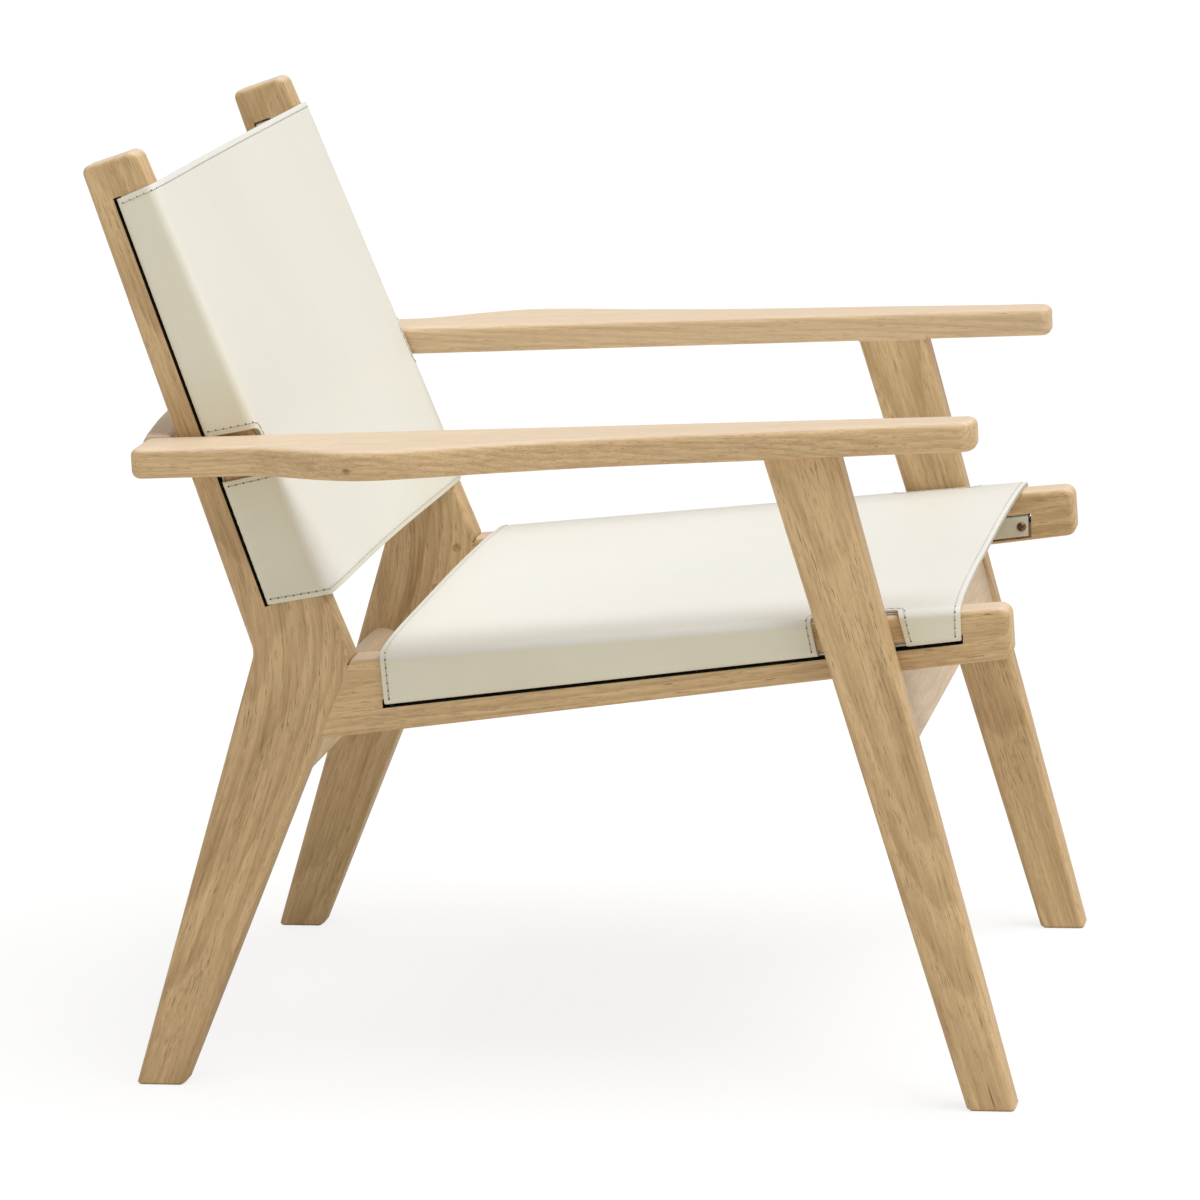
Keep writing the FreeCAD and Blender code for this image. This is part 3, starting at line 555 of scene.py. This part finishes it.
def inside(points, outline):
    """Which points lie inside the outline, by counting the edges crossed on the way out."""
    a, b = outline, np.roll(outline, -1, axis=0)
    x, y = points[:, :1], points[:, 1:]
    spans = (a[:, 1] > y) != (b[:, 1] > y)
    rise = np.where(b[:, 1] == a[:, 1], 1e-12, b[:, 1] - a[:, 1])
    crossing = a[:, 0] + (y - a[:, 1]) * (b[:, 0] - a[:, 0]) / rise
    return (spans & (x < crossing)).sum(axis=1) % 2 == 1


def mesh_object(name, points, faces, materials, indices=None):
    """Object at the origin from an array of points and a list of faces."""
    mesh = bpy.data.meshes.new(name)
    mesh.from_pydata(points.tolist(), [], faces)
    for material in materials:
        mesh.materials.append(material)
    if indices is not None:
        mesh.polygons.foreach_set("material_index", indices)
    mesh.polygons.foreach_set("use_smooth", [True] * len(mesh.polygons))
    mesh.update()
    piece = bpy.data.objects.new(name, mesh)
    bpy.context.scene.collection.objects.link(piece)
    return piece


def columns_of(flap_drawn, tab):
    """Stations across a hide, close together in the bends and wide apart on the flat."""
    runs = ((SHEET_HALF, 24), (FOLD_RUN, 8), (flap_drawn, 6), (BEND_RUN, 5), (WEB_RUN, 4),
            (BEND_RUN, 5), (tab, 3))
    stations = [0.0]
    for length, count in runs:
        stations.extend(stations[-1] + length * np.arange(1, count + 1) / count)
    stations = np.array(stations)
    return np.concatenate([-stations[:0:-1], stations])


# Cut edge of a hide, from the face to the lining: (how far in, height above the middle), and the
# material of each strip between them; the glue groove's strips are near black, as painted shade
FACE, LINING, EDGE, PAINTED_SHADE = range(4)
GLUE_H = HIDE / 2 - FACE_PLY
RIM = ((0.45 * MM, HIDE / 2), (0.12 * MM, HIDE / 2 - 0.14 * MM), (0.0, HIDE / 2 - 0.5 * MM),
       (0.0, GLUE_H + GLUE_LINE / 2), (0.35 * MM, GLUE_H), (0.05 * MM, GLUE_H - GLUE_LINE / 2),
       (0.05 * MM, -HIDE / 2 + 0.5 * MM), (0.15 * MM, -HIDE / 2 + 0.14 * MM), (0.45 * MM, -HIDE / 2))
RIM_STRIPS = (EDGE, EDGE, EDGE, PAINTED_SHADE, PAINTED_SHADE, EDGE, EDGE, EDGE)
SLIVER = 5e-9                # twice the area of triangles too thin to keep
CLEAR = 0.9 * MM             # no inner point stands nearer than this to a window


def flat_cut(outer, windows, field):
    """Flat points and triangles that fill an outline round its windows, all turned the same way."""
    for window in windows:
        near = np.sqrt(((field[:, None] - window[None]) ** 2).sum(2)).min(1) < CLEAR
        field = field[~(near | inside(field, window))]
    loops = [outer, *windows]
    counts = [len(loop) for loop in loops]
    starts = np.cumsum([0] + counts)
    edges = np.concatenate([np.stack([start + np.arange(n), start + (np.arange(n) + 1) % n], 1)
                            for start, n in zip(starts, counts)])
    made = delaunay_2d_cdt(np.concatenate([*loops, field]).tolist(), edges.tolist(), [], 0, 1e-7, False)
    flat, tris = np.array(made[0]), np.array(made[2])
    middle = flat[tris].mean(1)
    keep = inside(middle, outer)
    for window in windows:
        keep &= ~inside(middle, window)
    a, b, c = (flat[tris[:, k]] for k in range(3))
    area = (b[:, 0] - a[:, 0]) * (c[:, 1] - a[:, 1]) - (b[:, 1] - a[:, 1]) * (c[:, 0] - a[:, 0])
    tris[area < 0] = tris[area < 0][:, ::-1]
    return flat, tris[keep & (np.abs(area) > SLIVER)]


def rim_of(flat, tris):
    """Edges that only one triangle uses, and the way in from them at each point, as unit vectors."""
    directed = np.concatenate([tris[:, [0, 1]], tris[:, [1, 2]], tris[:, [2, 0]]])
    code = directed.min(1) * len(flat) + directed.max(1)
    _, first, uses = np.unique(code, return_index=True, return_counts=True)
    rim = directed[first[uses == 1]]
    way = flat[rim[:, 1]] - flat[rim[:, 0]]
    way /= np.linalg.norm(way, axis=1)[:, None]
    inward = np.zeros_like(flat)
    np.add.at(inward, rim[:, 0], np.stack([-way[:, 1], way[:, 0]], 1))
    np.add.at(inward, rim[:, 1], np.stack([-way[:, 1], way[:, 0]], 1))
    length = np.linalg.norm(inward, axis=1)
    inward[length > 0] /= length[length > 0][:, None]
    return rim, inward


def hide(name, lay, low_edge, high_edge, columns, rows, windows, materials):
    """Sewn hide: a flat cut with windows, triangulated, given its thickness and laid in place.

    lay takes (p, t, h) to the chair; low_edge and high_edge give t at each p; windows are outlines.
    """
    low, high = low_edge(columns), high_edge(columns)
    shares = np.linspace(0, 1, rows + 1)[1:-1]
    low_side = np.stack([columns, low], 1)
    high_side = np.stack([columns, high], 1)[::-1]
    ends = [np.stack([np.full(rows - 1, columns[i]), low[i] + (high[i] - low[i]) * shares], 1)
            for i in (-1, 0)]
    outer = np.concatenate([low_side, ends[0], high_side, ends[1][::-1]])
    p = np.repeat(columns[1:-1], rows - 1)
    t = (low[1:-1, None] + (high - low)[1:-1, None] * shares).ravel()
    flat, tris = flat_cut(outer, windows, np.stack([p, t], 1))
    rim, inward = rim_of(flat, tris)

    total = len(flat)
    points = np.concatenate([lay(*(flat + inward * back).T, np.full(total, h)) for back, h in RIM])
    last = (len(RIM) - 1) * total
    strips = [np.stack([rim[:, 1] + k * total, rim[:, 0] + k * total,
                        rim[:, 0] + (k + 1) * total, rim[:, 1] + (k + 1) * total], 1)
              for k in range(len(RIM) - 1)]
    groups = [tris, tris[:, ::-1] + last, np.concatenate(strips)]
    kinds = np.concatenate([np.full(len(tris), FACE), np.full(len(tris), LINING),
                            np.repeat(RIM_STRIPS, len(rim))])
    wanted = np.zeros(len(points), bool)
    for group in groups:
        wanted[group] = True
    number = np.cumsum(wanted) - 1
    groups = [number[group] for group in groups]
    points = points[wanted]
    probe = points[np.concatenate([group[:, :3] for group in groups])]
    volume = np.einsum("ij,ij->", probe[:, 0], np.cross(probe[:, 1], probe[:, 2]))
    if volume < 0:
        groups = [group[:, ::-1] for group in groups]
    faces = sum((group.tolist() for group in groups), [])
    return mesh_object(name, points, faces, materials, kinds)


def seam_stations(lay, p, t):
    """Awl holes one stitch apart along a seam, measured on the laid hide: their p and t."""
    laid = lay(p, t, np.full(len(p), HIDE / 2))
    gone = np.concatenate([[0], np.cumsum(np.linalg.norm(np.diff(laid, axis=0), axis=1))])
    count = max(2, round(gone[-1] / STITCH))
    at = np.linspace(0, gone[-1], count + 1)
    return np.interp(at, gone, p), np.interp(at, gone, t)


THREAD_AT = np.array([0.04, 0.22, 0.5, 0.78, 0.96])      # rings of a thread, along its stitch
THREAD_LIFT = np.array([-0.30, 0.22, 0.36, 0.22, -0.30]) * MM
AWL_RINGS = ((1.0, -0.05 * MM), (0.9, 0.06 * MM))        # share of the radius, height
AWL_MIDDLE = 0.10 * MM


def thread_tubes(lay, p, t, side):
    """Threads between the holes (p, t): tubes of five rings that dip into the hide at both ends."""
    start = np.stack([p[:-1], t[:-1]], 1)
    way = np.stack([p[1:], t[1:]], 1) - start
    cross = np.stack([-way[:, 1], way[:, 0]], 1)
    cross /= np.linalg.norm(cross, axis=1)[:, None]
    turn = np.linspace(0, 2 * math.pi, 6)[:-1]
    at = start[:, None] + way[:, None] * THREAD_AT[None, :, None]
    flat = at[:, :, None] + cross[:, None, None] * (THREAD * np.cos(turn))[None, None, :, None]
    tall = THREAD_LIFT[:, None] + THREAD * np.sin(turn)[None]
    h = np.broadcast_to(side * (HIDE / 2 + tall), flat.shape[:3])
    points = lay(flat[..., 0].ravel(), flat[..., 1].ravel(), h.ravel())
    index = np.arange(len(points)).reshape(-1, 5, 5)
    turned = np.roll(index, -1, axis=2)
    walls = np.stack([index[:, :-1], turned[:, :-1], turned[:, 1:], index[:, 1:]], -1).reshape(-1, 4)
    caps = np.concatenate([index[:, 0, ::-1], index[:, -1]])
    return points, (walls, caps)


def awl_holes(lay, p, t, side):
    """Low dimples at the holes (p, t), near black as painted shade inside them: two rings of eight points
    round a middle one.
    """
    ring = np.linspace(0, 2 * math.pi, 9)[:-1]
    rings = []
    for share, height in AWL_RINGS:
        round_p = p[:, None] + AWL * share * np.cos(ring)
        round_t = t[:, None] + AWL * share * np.sin(ring)
        h = np.full(round_p.size, side * (HIDE / 2 + height))
        rings.append(lay(round_p.ravel(), round_t.ravel(), h).reshape(len(p), -1, 3))
    middle = lay(p, t, np.full(len(p), side * (HIDE / 2 + AWL_MIDDLE)))[:, None]
    points = np.concatenate([*rings, middle], axis=1)
    base = np.arange(len(p))[:, None] * points.shape[1]
    i = np.arange(8)
    j = (i + 1) % 8
    walls = np.stack([base + i, base + j, base + 8 + j, base + 8 + i], -1).reshape(-1, 4)
    tops = np.stack([base + 8 + i, base + 8 + j, base + 16 + 0 * i], -1).reshape(-1, 3)
    return points.reshape(-1, 3), (walls, tops)


def stitches(name, lay, seams, materials):
    """Threads and awl holes along the seams (p, t), on the face and on the lining."""
    points, faces, kinds, total = [], [], [], 0
    for p_seam, t_seam in seams:
        p, t = seam_stations(lay, p_seam, t_seam)
        for side in (1.0, -1.0):
            for kind, make in enumerate((thread_tubes, awl_holes)):
                made, groups = make(lay, p, t, side)
                for group in groups:
                    turned = group if side > 0 else group[:, ::-1]
                    faces.extend((turned + total).tolist())
                    kinds.extend([kind] * len(group))
                points.append(made)
                total += len(made)
    return mesh_object(name, np.concatenate(points), faces, materials, kinds)


# Leather: faint creases, tiny pores and clouds of tone, and a paler painted top light where it faces up
SKIN_TOP_LIGHT = (0.806, 0.806, 0.782, 1.0)
skin, given, put = effect("saddle_leather",
                          [("Vector", "Vector", None), ("Base", "Color", None), ("Shade", "Color", None),
                           ("Up", "Float", 0.0)],
                          [("Color", "Color"), ("Roughness", "Float"), ("Height", "Float")])
pebble = add(skin, "TexVoronoi", {"Vector": given["Vector"], "Scale": 620.0}, feature="SMOOTH_F1")
pebble = pebble.outputs[0]
crease = noise(skin, given["Vector"], (55.0, 34.0, 55.0), 5.0, 0.62, 0.6)
cloud = noise(skin, given["Vector"], (7.0, 5.0, 7.0), 3.0, 0.5)
fine = noise(skin, given["Vector"], (1500.0, 1500.0, 1500.0), 2.0, 0.5)
soiled = between(skin, cloud, 0.38, 0.66, 0.0, 0.85)
soiled = maths(skin, "ADD", soiled, between(skin, crease, 0.50, 0.74, 0.0, 0.25))
tinted = blended(skin, soiled, given["Base"], given["Shade"])
# Painted top light: faces that look up are blended to a paler tone
tinted = blended(skin, between(skin, given["Up"], 0.05, 0.50, 0.0, 0.80), tinted, SKIN_TOP_LIGHT)
skin.links.new(tinted, put["Color"])
skin.links.new(maths(skin, "MULTIPLY_ADD", crease, 0.16, 0.36), put["Roughness"])
relief = maths(skin, "MULTIPLY", pebble, 0.55)
relief = maths(skin, "MULTIPLY_ADD", crease, 1.4, relief)
relief = maths(skin, "MULTIPLY_ADD", fine, 0.18, relief)
skin.links.new(relief, put["Height"])


def leather(name, base, shade, strength=0.25, sheen=0.0, gloss=0.35, painted_top_light=True):
    """Leather material: base and shade are its two tones, and it may get a paler painted top light on faces
    that look up.
    """
    material = bpy.data.materials.new(name)
    material.use_nodes = True
    tree = material.node_tree
    surface = tree.nodes["Principled BSDF"]
    where = add(tree, "TexCoord")
    figure = add(tree, "Group", node_tree=skin)
    tree.links.new(where.outputs["Object"], figure.inputs["Vector"])
    if painted_top_light:
        up_share = add(tree, "SeparateXYZ", {0: where.outputs["Normal"]}).outputs[2]
        tree.links.new(up_share, figure.inputs["Up"])
    figure.inputs["Base"].default_value = base
    figure.inputs["Shade"].default_value = shade
    bump = add(tree, "Bump", {"Height": figure.outputs["Height"], "Strength": strength,
                              "Distance": 0.3 * MM})
    tree.links.new(figure.outputs["Color"], surface.inputs["Base Color"])
    tree.links.new(figure.outputs["Roughness"], surface.inputs["Roughness"])
    tree.links.new(bump.outputs[0], surface.inputs["Normal"])
    surface.inputs["Specular IOR Level"].default_value = gloss
    surface.inputs["Sheen Weight"].default_value = sheen
    return material


hide_materials = [
    leather("ivory_face", (0.775, 0.745, 0.605, 1.0), (0.725, 0.690, 0.545, 1.0)),
    leather("ivory_lining", (0.700, 0.650, 0.520, 1.0), (0.620, 0.565, 0.440, 1.0), 0.5, 0.2, 0.2),
    leather("painted_edge", (0.760, 0.720, 0.610, 1.0), (0.620, 0.570, 0.450, 1.0), 0.4),
    # Near-black painted shade, in the awl holes and in the glue groove
    leather("awl_hole", (0.070, 0.062, 0.046, 1.0), (0.040, 0.034, 0.026, 1.0), 0.3, painted_top_light=False)]
thread = leather("waxed_thread", (0.500, 0.440, 0.320, 1.0), (0.400, 0.345, 0.245, 1.0), 0.6)
stitch_materials = [thread, hide_materials[PAINTED_SHADE]]

seat_columns = columns_of(SEAT_FLAP_DRAWN, SEAT_TAB)
SEAT_END = seat_columns[-1]
FLAP_END = FLAP_FROM + SEAT_FLAP_DRAWN + BEND_RUN
SEAT_REAR = [(-SEAT_END, -141.0 * MM), (-FLAP_END, -141.0 * MM), (-SHEET_HALF, -144.5 * MM),
             (SHEET_HALF, -150.5 * MM), (FLAP_END, -142.5 * MM), (SEAT_END, -141.5 * MM)]
SEAT_FRONT = [(-SEAT_END, 317.5 * MM), (-FLAP_END, 318.9 * MM), (-SHEET_HALF, 318.6 * MM),
              (SHEET_HALF, 313.8 * MM), (FLAP_END, 317.5 * MM), (SEAT_END, 317.5 * MM)]
seat_rear = edge_curve(SEAT_REAR, 9.0 * MM)
seat_front = edge_curve(SEAT_FRONT, 6.0 * MM)

# Window round each front leg: it opens at the slot and stops just over the fold. Its two edges are
# given at the slot and at the fold, and its last figure is the radius of its corners.
LEG_WINDOW = (FLAP_END + 3.0 * MM, SHEET_HALF - 1.0 * MM, (207.0 * MM, 199.5 * MM),
              (277.0 * MM, 268.5 * MM), 5.0 * MM)
WINDOW_STEP = 1.5 * MM
SEAM_STEP = 1.0 * MM
SEAM_SHORT = 0.5 * MM        # how far short of the slot a seam stops


def window_corners(side, window, grow=0.0):
    """Corners (p, t, radius) of a window, grown outward by the given distance."""
    deep, top, back_edge, front_edge, radius = window
    return [(side * deep, back_edge[0] - grow, 0.0),
            (side * (top - grow), back_edge[1] - grow, radius + grow),
            (side * (top - grow), front_edge[1] + grow, radius + grow),
            (side * deep, front_edge[0] + grow, 0.0)]


def seams_of(low_edge, high_edge, window, stop):
    """Seams (p, t) of a hide: along both edges, and round each window from its slot and back to it."""
    p = np.linspace(-stop, stop, 500)
    seams = [(p, low_edge(p) + STITCH_IN), (p, high_edge(p) - STITCH_IN)]
    for side in (-1, 1):
        path = outline_of(window_corners(side, window, STITCH_IN), SEAM_STEP, closed=False)
        seams.append(tuple(path[np.abs(path[:, 0]) < stop].T))
    return seams


seat = hide("seat_leather", lay_seat, seat_rear, seat_front, seat_columns, SEAT_ROWS,
            [outline_of(window_corners(side, LEG_WINDOW), WINDOW_STEP) for side in (-1, 1)],
            hide_materials)
seat_seams = seams_of(seat_rear, seat_front, LEG_WINDOW, FLAP_FROM + SEAT_FLAP_DRAWN - SEAM_SHORT)
seat_thread = stitches("seat_stitching", lay_seat, seat_seams, stitch_materials)
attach(seat, "root")
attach(seat_thread, "root")
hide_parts("seat_sling")


# ---------------------------------------------------------------- Back leather
# A second hide of the same make, wrapped round the fronts of the two posts and drawn back to
# slots in their outer faces. A window on each side lets the arm through.

BACK_FLAP_DRAWN = 26.0 * MM
BACK_TAB = 9.5 * MM
BACK_SAG = 6.0 * MM
BACK_ROWS = 44
INTO_SLOT = 0.6 * MM         # how far the flap passes the slot's line
CURL = (1.0 * MM, 3.0 * MM)  # forward curl of the low edge: everywhere, and more towards the left
CURL_TOP = 95.0 * MM         # where the curl starts, and the distance that it grows over
CURL_RUN = 45.0 * MM


def post_slot_depth(t):
    """How far the flap's rear edge stands behind the post's front, t up the post from the knee."""
    return POST_SLOT[0] + POST_SLOT[2] * (t - POST_SLOT[1])


def lay_back(p, t, h):
    """Place of a point of the back hide: p across it, t up the post, h in front of its middle."""
    flap = post_slot_depth(t) + INTO_SLOT - FOLD - SLOT_BEND
    y, depth, ny, nd = hide_section(p, flap, BACK_FLAP_DRAWN, BACK_TAB)
    near_low = np.clip((CURL_TOP - t) / CURL_RUN, 0, 1) ** 2
    on_sheet = np.clip(1 - (np.abs(p) - SHEET_HALF) / FOLD_RUN, 0, 1)
    curl = near_low * on_sheet * (CURL[0] + CURL[1] * np.clip(y / OUT, -1, 1))
    back = depth + nd * h - EASE - HIDE / 2 + BACK_SAG * slack(y) + curl
    x = POST_KNEE.x + LEG_X + POST_UP.x * t - POST_UP.y * back
    z = POST_KNEE.y + POST_UP.y * t + POST_UP.x * back
    return np.stack([x, y + ny * h, z], axis=-1)


back_columns = columns_of(BACK_FLAP_DRAWN, BACK_TAB)
BACK_END = back_columns[-1]
BACK_FLAP_END = FLAP_FROM + BACK_FLAP_DRAWN + BEND_RUN
BACK_LOW = [(-BACK_END, 65.5 * MM), (-BACK_FLAP_END, 65.2 * MM), (-SHEET_HALF, 54.0 * MM),
            (SHEET_HALF, 50.0 * MM), (BACK_FLAP_END, 65.0 * MM), (BACK_END, 65.5 * MM)]
BACK_HIGH = [(-BACK_END, 406.0 * MM), (-BACK_FLAP_END, 406.2 * MM), (-SHEET_HALF, 407.0 * MM),
             (SHEET_HALF, 408.0 * MM), (BACK_FLAP_END, 406.2 * MM), (BACK_END, 406.0 * MM)]
back_low = edge_curve(BACK_LOW)
back_high = edge_curve(BACK_HIGH)

# Window round each arm, given as the seat's is, with its lower edge first
ARM_WINDOW = (BACK_FLAP_END + 3.0 * MM, SHEET_HALF + 1.0 * MM, (169.4 * MM, 161.0 * MM),
              (207.2 * MM, 198.0 * MM), 6.0 * MM)
back = hide("back_leather", lay_back, back_low, back_high, back_columns, BACK_ROWS,
            [outline_of(window_corners(side, ARM_WINDOW), WINDOW_STEP) for side in (-1, 1)],
            hide_materials)
back_seams = seams_of(back_low, back_high, ARM_WINDOW, FLAP_FROM + BACK_FLAP_DRAWN - SEAM_SHORT)
back_thread = stitches("back_stitching", lay_back, back_seams, stitch_materials)
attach(back, "root")
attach(back_thread, "root")
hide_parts("back_sling")


# ---------------------------------------------------------------- Tab screws
# Round-head wood screws in dark bronze, seven to a tab, turned through the leather into the
# recesses on the inner faces of the rails and posts.

bronze = metal("dark_bronze", (0.150, 0.092, 0.060, 1.0), (0.300, 0.190, 0.120, 1.0), 0.28)
for side in SIDES:
    clothe(side + "_seat_screws", bronze)
    clothe(side + "_back_screws", bronze)


# ---------------------------------------------------------------- Floor, light and camera
# A plain white studio floor under an even sky, with one large soft light above the chair. The
# floor glows for the camera alone: it looks white, and the glow throws no light on the chair.

FLOOR_HALF = 40.0
FLOOR_Z = -0.2 * MM          # just under the soles
FLOOR_PAINT = (0.74, 0.73, 0.71, 1.0)
FLOOR_SEEN = (0.21, 0.21, 0.21, 1.0)    # its paint where it glows for the camera
FLOOR_GLOW = (0.80, 0.80, 0.80, 1.0)
NO_GLOW = (0.0, 0.0, 0.0, 1.0)
corners = np.array([(-1.0, -1.0, 0.0), (1.0, -1.0, 0.0), (1.0, 1.0, 0.0), (-1.0, 1.0, 0.0)])
floor_paint = bpy.data.materials.new("floor_paint")
floor_paint.use_nodes = True
floor_tree = floor_paint.node_tree
seen = add(floor_tree, "LightPath").outputs["Is Camera Ray"]
floor_surface = floor_tree.nodes["Principled BSDF"]
floor_surface.inputs["Roughness"].default_value = 0.9
floor_surface.inputs["Specular IOR Level"].default_value = 0.0
floor_surface.inputs["Emission Strength"].default_value = 1.0
floor_tree.links.new(blended(floor_tree, seen, FLOOR_PAINT, FLOOR_SEEN), floor_surface.inputs["Base Color"])
floor_tree.links.new(blended(floor_tree, seen, NO_GLOW, FLOOR_GLOW), floor_surface.inputs["Emission Color"])
floor = mesh_object("studio_floor", corners * FLOOR_HALF + (0.0, 0.0, FLOOR_Z), [(0, 1, 2, 3)],
                    [floor_paint])

SKY = (1.0, 0.985, 0.955, 1.0)
SKY_STRENGTH = 0.48
world = bpy.data.worlds.new("studio")
world.use_nodes = True
world.node_tree.nodes["Background"].inputs["Color"].default_value = SKY
world.node_tree.nodes["Background"].inputs["Strength"].default_value = SKY_STRENGTH
bpy.context.scene.world = world

LIGHT_POWER = 2.45
LIGHT_SPREAD = math.radians(50.0)
LIGHT_COLOUR = (1.0, 0.99, 0.975)
LIGHT_WAY = Vector((-0.36, 0.10, -1.0))
sun = bpy.data.lights.new("overhead_light", "SUN")
sun.energy = LIGHT_POWER
sun.angle = LIGHT_SPREAD
sun.color = LIGHT_COLOUR
overhead = bpy.data.objects.new("overhead_light", sun)
overhead.rotation_euler = LIGHT_WAY.to_track_quat("-Z", "Y").to_euler()
bpy.context.scene.collection.objects.link(overhead)

CAMERA_AZIMUTH = math.radians(10.1747)
CAMERA_ELEVATION = math.radians(11.1567)
CAMERA_ROLL = math.radians(-1.6887)
CAMERA_PLACE = Vector((0.85456 + LEG_X, -4.84598, 1.31793))
LENS_LENGTH = 180.865
backward = Vector((math.sin(CAMERA_AZIMUTH) * math.cos(CAMERA_ELEVATION),
                   -math.cos(CAMERA_AZIMUTH) * math.cos(CAMERA_ELEVATION), math.sin(CAMERA_ELEVATION)))
level = Vector((0.0, 0.0, 1.0)).cross(backward).normalized()
upright = backward.cross(level)
right = level * math.cos(CAMERA_ROLL) + upright * math.sin(CAMERA_ROLL)
upright = upright * math.cos(CAMERA_ROLL) - level * math.sin(CAMERA_ROLL)
lens = bpy.data.cameras.new("camera")
lens.sensor_width = 36.0
lens.lens = LENS_LENGTH
lens.clip_end = 200.0
camera = bpy.data.objects.new("camera", lens)
facing = Matrix((right, upright, backward)).transposed().to_4x4()
camera.matrix_world = Matrix.Translation(CAMERA_PLACE) @ facing
bpy.context.scene.collection.objects.link(camera)
bpy.context.scene.camera = camera
bpy.context.scene.view_settings.view_transform = "Standard"
